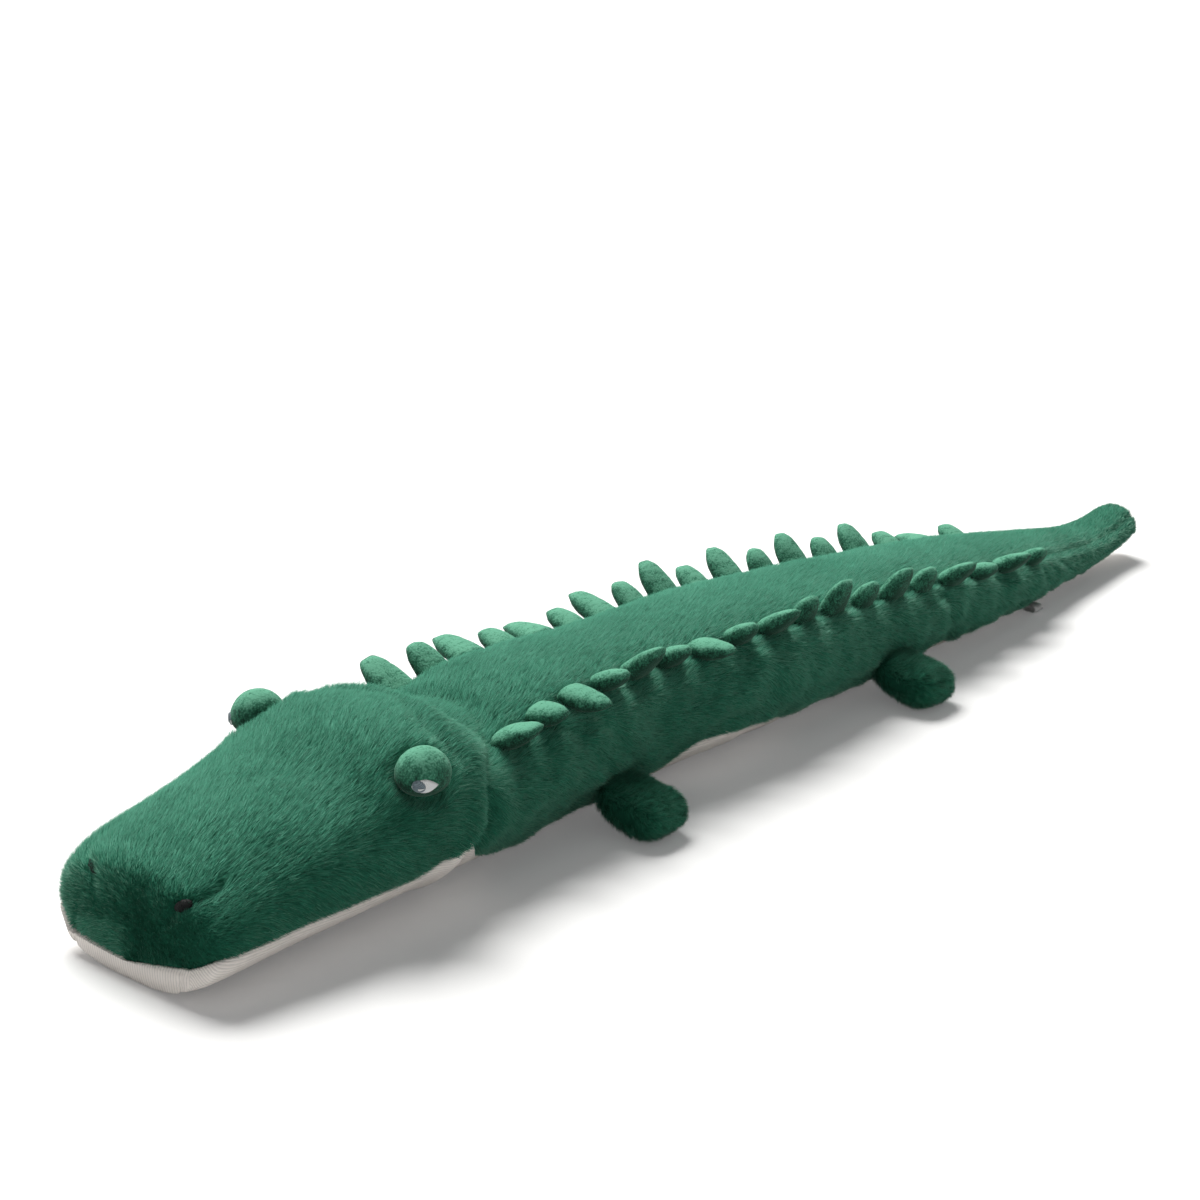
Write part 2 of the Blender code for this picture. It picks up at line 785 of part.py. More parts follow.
def build():
    clear_scene()
    model = new_collection(model_name)
    cutter_collection = new_collection(cutter_name)
    materials = {
        "plush": principled("green_plush", (0.018, 0.127, 0.078), 0.9),
        "rib": principled("cream_rib", (0.62, 0.54, 0.45), 0.9),
        "fill": principled("fibre_filling", (0.85, 0.85, 0.83), 1.0),
        "velvet": principled("green_velvet", (0.045, 0.235, 0.140), 0.8),
        "paw": principled("dark_green_plush", (0.010, 0.085, 0.050), 0.9),
        "white_thread": principled("white_thread", (0.78, 0.80, 0.80), 0.6),
        "blue_thread": principled("blue_grey_thread", (0.22, 0.33, 0.40), 0.6),
        "black_thread": principled("black_thread", (0.008, 0.010, 0.010), 0.6),
        "tape": principled("label_tape", (0.60, 0.60, 0.58), 0.7),
    }
    cutters = make_cutters(cutter_collection)
    make_region(
        "head", (True, False), [cutters["head"]],
        [("head_cover", cover_angles)], "chin_panel", materials, model,
    )
    trunk_panels = [
        ("back_panel", back_angles),
        ("left_side_panel", left_side_angles),
        ("right_side_panel", right_side_angles),
    ]
    make_region(
        "trunk", (False, False), [cutters["trunk_front"], cutters["trunk_back"]],
        trunk_panels, "belly_panel", materials, model,
    )
    make_region(
        "tail", (False, True), [cutters["tail"]],
        [("tail_cover", cover_angles)], "tail_under_panel", materials, model,
    )
    make_spikes(materials["velvet"], cutters, model)
    make_legs(materials["paw"], cutter_collection, model)
    for side_name, side in (("left", 1), ("right", -1)):
        make_eye(side_name, side, materials, cutters["body"], model)
        make_nostril(side_name, side, materials["black_thread"], cutters["body"], model)
    make_label(materials["tape"], model)


build()
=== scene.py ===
"""Dresses the plush crocodile: covers, pile, spikes, legs, eyes, label and a studio stage."""

import json
import math

import bpy
import numpy as np
from mathutils import Matrix, Vector


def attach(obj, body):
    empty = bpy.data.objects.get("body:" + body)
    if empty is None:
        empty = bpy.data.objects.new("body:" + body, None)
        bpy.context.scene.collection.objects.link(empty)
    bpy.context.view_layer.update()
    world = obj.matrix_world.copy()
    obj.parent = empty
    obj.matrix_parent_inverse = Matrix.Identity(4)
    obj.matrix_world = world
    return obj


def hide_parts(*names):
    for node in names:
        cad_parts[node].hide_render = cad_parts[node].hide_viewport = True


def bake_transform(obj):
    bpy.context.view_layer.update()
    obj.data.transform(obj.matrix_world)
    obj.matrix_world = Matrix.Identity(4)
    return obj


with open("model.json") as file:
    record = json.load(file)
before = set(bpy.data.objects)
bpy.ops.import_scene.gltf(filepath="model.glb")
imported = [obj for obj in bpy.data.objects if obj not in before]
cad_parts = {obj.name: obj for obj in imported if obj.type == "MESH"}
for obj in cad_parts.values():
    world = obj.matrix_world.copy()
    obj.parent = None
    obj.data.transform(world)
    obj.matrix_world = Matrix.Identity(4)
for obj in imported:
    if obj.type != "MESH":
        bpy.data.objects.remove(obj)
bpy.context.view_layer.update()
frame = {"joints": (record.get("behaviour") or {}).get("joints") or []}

bl_info = {
    "name": "Plush Crocodile Dressing",
    "version": (1, 0, 0),
    "blender": (4, 5, 0),
    "location": "View3D > Sidebar > Crocodile",
    "description": "Sews the covers, pile, spikes, legs and eyes of a plush crocodile",
    "category": "Object",
}

# Lengths along the body are measured from the tip of the nose, in metres.
TOTAL = 1.400
HEAD = 0.320
TRUNK = 0.680
TAIL = 0.400
NOSE_Y = -TOTAL / 2
NOSE_RING = 0.003
TAIL_RING = 1.392
NOSE_ROUND = 0.080
TAIL_ROUND = 0.060
REST_FLAT = 0.0005

# Distance, half width, height and lift of the body's sections.
BODY_ROWS = (
    (0.0030, 0.07245, 0.04524, 0.0),
    (0.0128, 0.09315, 0.08268, 0.0),
    (0.0304, 0.09833, 0.09516, 0.0),
    (0.0800, 0.10178, 0.11076, 0.0),
    (0.1600, 0.10868, 0.12948, 0.0),
    (0.2368, 0.11385, 0.15366, 0.0),
    (0.2816, 0.10695, 0.14898, 0.0),
    (0.3200, 0.10300, 0.12400, 0.0),
    (0.4152, 0.09555, 0.14204, 0.0),
    (0.5512, 0.08554, 0.13668, 0.0),
    (0.7008, 0.09282, 0.13065, 0.0),
    (0.8504, 0.08418, 0.11658, 0.0),
    (1.0000, 0.07600, 0.10000, 0.0),
    (1.1200, 0.06460, 0.08300, 0.0),
    (1.2400, 0.04864, 0.05900, 0.00220),
    (1.3480, 0.03466, 0.04050, 0.01078),
    (1.3920, 0.02812, 0.03900, 0.01804),
)
# Distance and angle of the seam between the green cover and the cream underside.
SEAM_ROWS = (
    (0.000, 18.0), (0.003, 15.0), (0.006, 6.0), (0.010, 0.0), (0.028, -8.0), (0.056, -13.0),
    (0.099, -17.0), (0.155, -22.0), (0.207, -27.0), (0.236, -20.0), (0.254, -17.0),
    (0.268, -18.0), (0.281, -30.0), (0.298, -42.0), (0.330, -51.0), (0.400, -55.0),
    (0.500, -54.0), (0.535, -47.0), (0.550, -42.0), (0.567, -34.0), (0.588, -28.5),
    (0.610, -27.0), (0.633, -31.0), (0.675, -35.0), (0.700, -43.0), (0.730, -50.0), (0.868, -52.0),
    (1.148, -52.0), (1.260, -58.0), (1.392, -55.0),
)
# The far side's seam dips lower at the snout, as the soft chin is squashed there.
FAR_SEAM_ROWS = (
    (0.000, -8.0), (0.010, -12.0), (0.030, -16.0), (0.080, -20.0), (0.155, -22.0), (0.207, -27.0),
)
# Roundness of the sections: 2 is an ellipse, and more is squarer.
NOSE_POWER = 2.3
NOSE_POWER_LENGTH = 0.120
UPPER_POWER = 2.3
UNDER_POWER = 2.05
TAIL_POWER = 2.1
# How far below the seam the middle of the snout's front face lies.
NOSE_SEAM_DIP = 0.0130

# Distance where the front covers end and the rear covers start.
FRONT_REAR_SPLIT = 0.660

# Spikes of the two rows: their number, places, spacing and angle round the body.
SPIKES = 18
FIRST_SPIKE = 0.345
LAST_SPIKE = 1.13975
LEFT_ROW_SHIFT = -0.003
RIGHT_ROW_SHIFT = 0.009
PITCH_FRONT = 0.0405
PITCH_BACK = 0.0530
ROW_ANGLE_FRONT = 48.0
ROW_ANGLE_BACK = 37.0
# How far each spike lies over to the side, as a share of LAY_ANGLE in degrees.
LEFT_LAYS = (
    0.77, 1.08, 1.25, 0.60, 0.23, 0.46, 0.98, 0.40, 0.42,
    -0.15, -0.23, -0.10, -0.13, -0.21, 0.25, 0.56, 0.40, 0.25,
)
RIGHT_LAYS = (
    0.65, 0.45, 0.93, 0.82, 1.05, 0.68, 0.65, 0.33, 0.21,
    0.43, 0.22, 0.03, 0.05, 0.10, 0.13, 0.46, 1.00, 0.45,
)
LAY_ANGLE = 48.0
# How far the spikes of each row sweep back to the tail, as a share of their height.
LEFT_SWEEP = 0.12
RIGHT_SWEEP = 0.05
# Thickness of a petal before it is stuffed, and how deep its root goes in the seam.
PETAL_THICKNESS = 0.0158
PETAL_DEPTH = 0.0075
# How deep the rows are sewn in, and how wide and long their petals are made.
LEFT_ROOT_DEPTH = 0.0046
RIGHT_ROOT_DEPTH = 0.0040
LEFT_PETAL_SCALE = (1.12, 0.93)
RIGHT_PETAL_SCALE = (1.06, 1.0)
LEFT_PETAL_HEIGHT = 0.86
RIGHT_PETAL_HEIGHT = 1.0

# The eye domes: distance from the nose, place in the section, half sizes and flat underside.
EYE_DISTANCE = 0.219
LEFT_EYE_ACROSS = 0.860
RIGHT_EYE_ACROSS = 0.797
EYE_HEIGHT = 0.8035
EYE_RAISE = 0.003
DOME_RADII = (0.0211, 0.0231, 0.0211)
DOME_CLEAR = (0.0200, 0.0220, 0.0200)
PATCH_RADII = (0.0212, 0.0232, 0.0212)
UNDER_DOME = 0.80
# The way both eyes look.
GAZE = Vector((0.758, -0.642, -0.110)).normalized()

# The nostrils: distance from the nose, angle, tilt, half sizes and depth in the pile.
NOSTRIL_DISTANCE = 0.0125
NOSTRIL_ANGLE = 56.0
NOSTRIL_TILT = 28
NOSTRIL_LENGTH = 0.0082
NOSTRIL_WIDTH = 0.0044
NOSTRIL_HEIGHT = 0.0030
LEFT_NOSTRIL_DEPTH = 0.0050
RIGHT_NOSTRIL_DEPTH = 0.0064

# The legs: reach and thickness of a paddle, and how far inside the hinge it starts.
LEG_HALF_REACH = 0.0365
LEG_HALF_HEIGHT = 0.0205
LEG_ROOT = 0.0160
LEG_INSET = 0.0034
LEG_FLOOR_GAP = 0.0012
FORELEG_HALF_LENGTH = 0.0285
HIND_LEG_HALF_LENGTH = 0.0290
LEG_FIBRES = 22000
LEG_FIBRE_WIDTH = 0.00055

# Cloth physics: pressure, stiffness, and how far a point may move.
PETAL_CLOTH = (1500, 110, 0.006)
LEG_CLOTH = (350, 110, 0.003)
CLOTH_STEPS = 20

# The grids of the covers, and the most fibres in one piece of pile.
GRID_STEP = 0.0040
GREEN_COLUMNS = 120
UNDER_COLUMNS = 44
UNDER_INSET = 0.0006
RIB_PITCH = 0.0028
FILLING_INSET = 0.011
PIECE_FIBRES = 66000

# The folded label: place, length of one side, half the fold and thickness of the ribbon.
LABEL_DISTANCE = 1.158
LABEL_REACH = 0.0150
LABEL_HALF_FOLD = 0.0030
LABEL_THICKNESS = 0.0005

# The camera's direction from the toy, in degrees, and its place.
CAMERA_AZIMUTH = 41.467
CAMERA_ELEVATION = 18.716
CAMERA_PLACE = (1.46005, -1.82134, 0.90795)
CAMERA_UP = 0.0018
CAMERA_RIGHT = 0.0012


def length_property(label, text, default, low, high):
    """A length in metres on the panel."""
    return bpy.props.FloatProperty(
        name=label, description=text, default=default, min=low, max=high, unit="LENGTH")


def colour_property(label, text, default):
    """A colour on the panel."""
    return bpy.props.FloatVectorProperty(
        name=label, description=text, subtype="COLOR", default=default)


class CrocodilePileSettings(bpy.types.PropertyGroup):
    """The pile over the body"""

    length: length_property("Pile length", "Length of the body's pile", 0.0078, 0.002, 0.03)
    width: length_property(
        "Fibre width", "Width of one bundle of fibres at its root", 0.00060, 0.0002, 0.003)
    lean: bpy.props.FloatProperty(
        name="Lean", description="Angle of the pile above the skin where it is combed flat",
        default=math.radians(26), subtype="ANGLE")
    front_lean: bpy.props.FloatProperty(
        name="Front lean", description="Angle of the pile above the skin on the snout's front face",
        default=math.radians(36), subtype="ANGLE")
    clump: length_property(
        "Clump size", "Spacing of the tufts that the fibres gather in", 0.0020, 0.001, 0.02)
    gather: bpy.props.FloatProperty(
        name="Gather", description="How far a fibre's tip is drawn to its tuft's tip",
        default=0.24, min=0, max=1, subtype="FACTOR")
    fibres: bpy.props.IntProperty(
        name="Fibres", description="Bundles of fibres over the whole body",
        default=490000, min=1000)
    inset: bpy.props.FloatProperty(
        name="Backing depth", description="How far the backing lies under the pile's outline",
        default=0.0036, unit="LENGTH")


class CrocodileColourSettings(bpy.types.PropertyGroup):
    """The main colours of the toy, with the pile's painted shade at the root and painted sheen at
    the tips
    """

    # Painted shade: the pile's root colour is darker, for the shade deep in the pile.
    pile_root_shade: colour_property("Pile root", "Colour deep in the pile", (0.005, 0.062, 0.036))
    pile_mid: colour_property("Pile", "Main colour of the pile", (0.021, 0.205, 0.122))
    # Painted sheen: the pile's tip colour is paler, for the sheen on the tips.
    pile_tip_sheen: colour_property("Pile tip", "Colour of the pile's tips", (0.090, 0.420, 0.280))
    velvet: colour_property("Velvet", "Colour of the spikes and eye domes", (0.044, 0.200, 0.122))
    cream: colour_property("Cream rib", "Colour of the underside", (0.93, 0.865, 0.815))


class CrocodilePieceSettings(bpy.types.PropertyGroup):
    """Sizes of the sewn-on pieces"""

    large_spike_length: length_property(
        "Large spike length", "Length of a large spike along its seam", 0.0375, 0.01, 0.08)
    large_spike_height: length_property(
        "Large spike height", "Height of a large spike above its seam", 0.0430, 0.01, 0.08)
    small_spike_length: length_property(
        "Small spike length", "Length of a small spike along its seam", 0.0325, 0.01, 0.08)
    small_spike_height: length_property(
        "Small spike height", "Height of a small spike above its seam", 0.0315, 0.01, 0.08)
    leg_pile_length: length_property(
        "Leg pile length", "Length of the short pile on the legs", 0.0066, 0.001, 0.02)
    label_width: length_property(
        "Label width", "Width of the folded ribbon loop", 0.0150, 0.005, 0.03)


class CrocodileStageSettings(bpy.types.PropertyGroup):
    """The floor, the lights and the lens"""

    floor_size: bpy.props.FloatProperty(
        name="Floor size", description="Side of the pale floor", default=16.0, unit="LENGTH")
    key_power: bpy.props.FloatProperty(
        name="Key light", description="Power of the large soft key light", default=1020.0)
    fill_power: bpy.props.FloatProperty(
        name="Fill light", description="Power of the fill light on the near side", default=17.0)
    world_level: bpy.props.FloatProperty(
        name="Room level", description="Strength of the even light of the room", default=0.16)
    lens: bpy.props.FloatProperty(
        name="Lens", description="Focal length on a 36 mm sensor", default=81.05)


# ---------------------------------------------------------------- curves, noise and sections


class MonotoneCurve:
    """A smooth curve through rows that never overshoots them, for whole arrays at once."""

    def __init__(self, xs, ys):
        self.xs = np.array(xs, float)
        self.ys = np.array(ys, float)
        self.steps = np.diff(self.xs)
        rises = np.diff(self.ys) / self.steps
        self.slopes = np.zeros(len(self.xs))
        self.slopes[0] = rises[0]
        self.slopes[-1] = rises[-1]
        for i in range(1, len(rises)):
            if rises[i - 1] * rises[i] > 0:
                before = 2 * self.steps[i] + self.steps[i - 1]
                after = self.steps[i] + 2 * self.steps[i - 1]
                self.slopes[i] = (before + after) / (before / rises[i - 1] + after / rises[i])

    def __call__(self, x):
        x = np.clip(np.asarray(x, float), self.xs[0], self.xs[-1])
        i = np.clip(np.searchsorted(self.xs, x, side="right") - 1, 0, len(self.steps) - 1)
        step = self.steps[i]
        t = (x - self.xs[i]) / step
        start = (1 + 2 * t) * (1 - t) ** 2 * self.ys[i] + t * (1 - t) ** 2 * step * self.slopes[i]
        end = t * t * (3 - 2 * t) * self.ys[i + 1] - t * t * (1 - t) * step * self.slopes[i + 1]
        return start + end


def curve_through(rows, k=1):
    """The smooth curve of the k-th value of each row over its distance."""
    return MonotoneCurve([row[0] for row in rows], [row[k] for row in rows])


half_width_at = curve_through(BODY_ROWS)
height_at = curve_through(BODY_ROWS, 2)
lift_at = curve_through(BODY_ROWS, 3)
seam_at = curve_through(SEAM_ROWS)
snout_far_seam = curve_through(FAR_SEAM_ROWS)


def far_seam_at(distance):
    """The seam's angle on the far side, counted down from the other side."""
    return np.where(distance < FAR_SEAM_ROWS[-1][0], snout_far_seam(distance), seam_at(distance))


def hashed(cells, seed):
    """A random number from 0 to 1 for each row of whole numbers, the same at every run."""
    cells = np.asarray(cells, np.int64)
    value = np.full(cells.shape[:-1], seed * 2654435761 % 4294967296, np.int64)
    for k in range(cells.shape[-1]):
        value = (value ^ (cells[..., k] * 73856093)) & 0xFFFFFFFF
        value = (value * 2246822519) & 0xFFFFFFFF
        value = value ^ (value >> 15)
    value = (value * 3266489917) & 0xFFFFFFFF
    return (value ^ (value >> 16)) / 4294967295.0


def noise(points, scale, seed):
    """Smooth noise from -1 to 1 with features of about the given size."""
    scaled = np.asarray(points, float) / scale
    base = np.floor(scaled).astype(np.int64)
    local = scaled - base
    local = local * local * (3 - 2 * local)
    total = np.zeros(scaled.shape[:-1])
    size = scaled.shape[-1]
    for corner in range(2 ** size):
        offset = np.array([(corner >> k) & 1 for k in range(size)])
        weight = np.ones(scaled.shape[:-1])
        for k in range(size):
            weight = weight * (local[..., k] if offset[k] else 1 - local[..., k])
        total += weight * hashed(base + offset, seed)
    return total * 2 - 1


def bump(x, centre, width):
    """A soft rise of height 1 round a centre."""
    return np.exp(-((x - centre) / width) ** 2)


def smooth_step(x, low, high):
    """From 0 at low to 1 at high, without a kink."""
    t = np.clip((x - low) / (high - low), 0, 1)
    return t * t * (3 - 2 * t)


def signed_power(value, power):
    return np.sign(value) * np.abs(value) ** power


def section_power_at(distance, angle):
    """How square the body's section is at a distance and an angle."""
    nose = np.maximum(1 - distance / NOSE_POWER_LENGTH, 0)
    tail = np.maximum(distance - HEAD - TRUNK, 0) / TAIL
    power = np.where(np.sin(np.radians(angle)) > 0, UPPER_POWER, UNDER_POWER)
    power = power + (NOSE_POWER - power) * nose
    return power + (TAIL_POWER - power) * tail


def body_point(distance, angle, inset=0.0):
    """Points of the body's skin at angles in degrees round its sections."""
    distance, angle = np.broadcast_arrays(np.asarray(distance, float), np.asarray(angle, float))
    power = 2 / section_power_at(distance, angle)
    half_height = height_at(distance) / 2
    turn = np.radians(angle)
    x = (half_width_at(distance) - inset) * signed_power(np.cos(turn), power)
    rise = (half_height - inset) * signed_power(np.sin(turn), power)
    z = np.maximum(lift_at(distance) + half_height + rise - REST_FLAT, inset)
    ends = np.maximum(1 - distance / NOSE_ROUND, 0)
    ends = ends - np.maximum(1 - (TOTAL - distance) / TAIL_ROUND, 0)
    y = NOSE_Y + distance + inset * ends
    return np.stack([x, y, z], axis=-1)


def body_normal(distance, angle):
    step = 0.0025
    along = body_point(distance + step, angle) - body_point(distance - step, angle)
    around = body_point(distance, angle + 1.0) - body_point(distance, angle - 1.0)
    normal = np.cross(along, around)
    return normal / np.linalg.norm(normal, axis=-1, keepdims=True)


def shoulder_angle(distance):
    """The angle of the seam that holds the spikes."""
    share = np.clip((distance - FIRST_SPIKE) / (LAST_SPIKE - FIRST_SPIKE), 0, 1)
    return ROW_ANGLE_FRONT + (ROW_ANGLE_BACK - ROW_ANGLE_FRONT) * share


def spike_distances():
    places = []
    distance = FIRST_SPIKE
    for i in range(SPIKES):
        places.append(distance)
        distance += PITCH_FRONT + (PITCH_BACK - PITCH_FRONT) * i / (SPIKES - 2)
    return np.array(places)


def eye_centre(side):
    share = LEFT_EYE_ACROSS if side > 0 else RIGHT_EYE_ACROSS
    across = float(share * half_width_at(EYE_DISTANCE))
    up = float(EYE_HEIGHT * height_at(EYE_DISTANCE)) + EYE_RAISE
    return np.array([side * across, NOSE_Y + EYE_DISTANCE, up])


def unit(vectors):
    return vectors / np.maximum(np.linalg.norm(vectors, axis=-1, keepdims=True), 1e-12)


# ---------------------------------------------------------------- relief of the stuffed covers


# The neck's crease: angles round the near half, and the crease's distance at each.
NECK_ANGLES = (-40.0, -16.0, -4.0, 15.0, 30.0, 50.0, 74.0, 90.0)
NECK_CREASE = (0.262, 0.266, 0.281, 0.284, 0.294, 0.320, 0.342, 0.346)
# Deeper folds of the flank: distance, slant per degree, width and depth.
FLANK_FOLDS = (
    (0.392, -0.0012, 0.008, 0.0032), (0.432, -0.0010, 0.009, 0.0024),
    (0.952, -0.0004, 0.009, 0.0034), (0.985, -0.0004, 0.008, 0.0022),
    (1.060, -0.0004, 0.008, 0.0022), (1.146, -0.0006, 0.008, 0.0026),
    (1.168, -0.0008, 0.006, 0.0018), (1.190, -0.0010, 0.007, 0.0026),
)
# The line on which the pile is pressed in round a nostril and behind it.
NOSTRIL_LINE = (
    (0.008, 0.011, 0.017, 0.032, 0.048, 0.064), (62, 60, 51, 46, 51, 55),
)


def folded_angle(angle):
    """The angle on the left half that mirrors this one."""
    return np.where(angle > 90, 180 - angle, angle)


def relief(distance, angle, points, under):
    """How far the stuffed cover stands out from the plain section: creases, folds and lumps."""
    near = folded_angle(angle)
    girth = height_at(distance) * 0.5
    height = 0.0022 * noise(points, 0.085, 1) + 0.0010 * noise(points, 0.038, 2)
    calm = smooth_step(distance, 0.02, 0.10)
    height = height * (0.45 + 0.55 * calm)
    crease = np.interp(near, NECK_ANGLES, NECK_CREASE)
    wobble = 0.004 * noise(points, 0.05, 3)
    from_crease = distance - crease - wobble
    side = 1 - smooth_step(near, 18, 60)
    height = height - (0.0036 + 0.0052 * side) * bump(from_crease, 0, 0.0078)
    height = height + (0.0014 + 0.0040 * side) * bump(from_crease, -0.020, 0.013)
    height = height + (0.0010 + 0.0012 * side) * bump(from_crease, 0.018, 0.010)
    second = smooth_step(near, 5, 22) * (1 - smooth_step(near, 55, 70))
    height = height - 0.0022 * second * bump(from_crease, 0.015, 0.0055)
    height = height - 0.0014 * second * bump(from_crease, 0.033, 0.0060)
    brow = smooth_step(near, 25, 40) * (1 - smooth_step(near, 78, 100))
    brow_line = 0.258 + 0.018 * smooth_step(near, 60, 90)
    height = height - 0.0030 * brow * bump(distance, brow_line, 0.0065)
    height = height + 0.0018 * brow * bump(distance, brow_line + 0.015, 0.008)
    arc = (near - shoulder_angle(distance)) * math.pi / 180 * girth * 1.25
    row = smooth_step(distance, 0.325, 0.345)
    tip_groove = smooth_step(distance, 1.15, 1.20)
    height = height - (0.0040 - 0.0020 * tip_groove) * row * bump(arc, 0, 0.0050)
    places = spike_distances()
    phase = np.interp(distance, places, np.arange(SPIKES))
    pucker = np.cos(2 * math.pi * phase)
    ripple = pucker * np.exp(-np.abs(arc) / 0.026) * row * (1 - tip_groove)
    height = height + 0.0013 * ripple * np.where(arc < 0, 1.0, 0.45)
    folds = noise(np.stack([distance, near / 400], axis=-1), 0.030, 4)
    finer = noise(np.stack([distance, near / 900], axis=-1), 0.013, 5)
    flank = smooth_step(-arc, 0.004, 0.020) * row
    height = height + flank * (0.0031 * folds + 0.0013 * finer) * (1 - 0.5 * tip_groove)
    for centre, slant, width, depth in FLANK_FOLDS:
        line = centre + slant * (near - 30)
        height = height - flank * depth * bump(distance, line, width)
    seam = np.where(angle > 90, far_seam_at(distance), seam_at(distance))
    seam_gap = (near - seam) * math.pi / 180 * girth
    height = height - 0.0022 * bump(seam_gap, 0, 0.0045)
    height = height + 0.0020 * bump(distance, 0.128, 0.022) * bump(angle, 102, 16)
    height = height + 0.0020 * bump(distance, 0.096, 0.016) * bump(near, 64, 14)
    nostril_line = np.interp(distance, *NOSTRIL_LINE)
    reach = smooth_step(distance, 0.004, 0.010) * (1 - smooth_step(distance, 0.035, 0.064))
    height = height - 0.0036 * bump(near, nostril_line, 3.6) * reach
    for side in (1, -1):
        away = (points - eye_centre(side)) / np.array(DOME_RADII)
        rim = np.sqrt((away ** 2).sum(axis=-1)) - 1
        height = height - 0.0030 * bump(rim, 0.06, 0.16) + 0.0016 * bump(rim, 0.55, 0.25)
    for centre in (0.457, 0.859):
        height = height + 0.0035 * bump(distance, centre, 0.026) * bump(near, -22, 13)
    if under:
        height = 0.5 * height - 0.0015 * bump(seam_gap, 0, 0.003)
    return height


def dart_line(z):
    """How far from the middle the dart of the snout's front corner runs."""
    return np.interp(z, (0.016, 0.037, 0.062), (0.0615, 0.0590, 0.0450))


class Skin:
    """A grid of points of a stuffed cover: rows along the body, columns from seam to seam."""

    def __init__(self, start, end, step, columns, inset, under):
        self.under = under
        rows = []
        if start <= 0:
            rows += [(NOSE_RING, share) for share in np.linspace(0.004, 0.96, 20)]
            near = NOSE_RING + np.array([0, 0.0012, 0.0026, 0.0045, 0.007, 0.010, 0.0135])
            rows += [(distance, 1.0) for distance in near]
            first = near[-1] + step
        else:
            first = start
        last = min(end, TAIL_RING)
        count = max(int(round((last - first) / step)), 1)
        rows += [(first + (last - first) * i / count, 1.0) for i in range(count + 1)]
        if end >= TAIL_RING:
            rows += [(TAIL_RING, share) for share in np.linspace(0.96, 0.004, 9)]
        self.distance = np.array([row[0] for row in rows])
        self.share = np.array([row[1] for row in rows])
        self.nose_rows = np.array([row[1] < 1 and row[0] < 0.1 for row in rows])
        self.tail_rows = np.array([row[1] < 1 and row[0] > 0.1 for row in rows])
        fraction = np.linspace(0, 1, columns + 1)
        seam = seam_at(self.distance)[:, None]
        far = far_seam_at(self.distance)[:, None]
        if under:
            fraction = 0.5 + 0.5 * signed_power(2 * fraction - 1, 0.9)
            angle = seam + (-180 - far - seam) * fraction[None, :]
        else:
            angle = seam + (180 - far - seam) * fraction[None, :]
        self.angle = angle
        distance = np.broadcast_to(self.distance[:, None], angle.shape)
        points = body_point(distance, angle, inset)
        points = self.capped(points, inset)
        normals = self.grid_normals(points)
        mirrored = np.where(angle < -90, -180 - angle, angle) if under else angle
        height = relief(distance, mirrored, points, under)
        height = height * (0.35 + 0.65 * self.share[:, None])
        height = height + self.dart(points)
        points = points + normals * height[..., None]
        edge = inset * 0.5
        points[..., 2] = np.maximum(points[..., 2], edge if edge > 0.0009 else 0.0009)
        self.points = points
        self.normals = self.grid_normals(points)

    def capped(self, points, inset):
        """Draw the end rows in to the middle of the end faces."""
        for ends, apex_y, bulge, dip in (
            (self.nose_rows, NOSE_Y + inset, NOSE_RING, NOSE_SEAM_DIP),
            (self.tail_rows, NOSE_Y + TOTAL - inset, TAIL_RING - TOTAL, 0.0),
        ):
            for i in np.nonzero(ends)[0]:
                ring = body_point(self.distance[i], self.angle[i], inset)
                level = body_point(self.distance[i], self.angle[i][0], inset)[2] - dip
                share = self.share[i]
                points[i, :, 0] = ring[:, 0] * share
                points[i, :, 2] = level + (ring[:, 2] - level) * share
                points[i, :, 1] = apex_y + bulge * share ** 2
        return points

    def dart(self, points):
        """The sewn dart at each front corner of the snout."""
        reach = np.abs(points[..., 0]) - dart_line(points[..., 2])
        face = smooth_step(-points[..., 1], 0.6905, 0.6945)
        face = face * (1 - smooth_step(points[..., 2], 0.060, 0.070))
        if self.under:
            return -0.0016 * np.exp(-(reach / 0.0016) ** 2) * face
        return -0.0030 * np.exp(-(reach / 0.0022) ** 2) * face

    def grid_normals(self, points):
        along = np.gradient(points, axis=0)
        around = np.gradient(points, axis=1)
        normal = unit(np.cross(along, around))
        return -normal if self.under else normal

    def sample(self, row, column, field):
        """Read a field of the grid at fractional rows and columns."""
        i = np.clip(np.floor(row).astype(int), 0, field.shape[0] - 2)
        j = np.clip(np.floor(column).astype(int), 0, field.shape[1] - 2)
        a = np.clip(row - i, 0, 1)
        b = np.clip(column - j, 0, 1)
        if field.ndim == 3:
            a = a[..., None]
            b = b[..., None]
        low = field[i, j] * (1 - b) + field[i, j + 1] * b
        high = field[i + 1, j] * (1 - b) + field[i + 1, j + 1] * b
        return low * (1 - a) + high * a


def grid_faces(rows, columns, flip=False):
    """The four-sided faces between the points of a grid."""
    index = np.arange(rows * columns).reshape(rows, columns)
    quads = np.stack([index[:-1, :-1], index[1:, :-1], index[1:, 1:], index[:-1, 1:]], axis=-1)
    quads = quads.reshape(-1, 4)
    return quads[:, ::-1] if flip else quads


def tube_faces(rows, columns):
    """The four-sided faces of a grid that closes on itself across its columns."""
    index = np.arange(rows * columns).reshape(rows, columns)
    after = np.roll(index, -1, axis=1)
    return np.stack([index[:-1], index[1:], after[1:], after[:-1]], axis=-1).reshape(-1, 4)


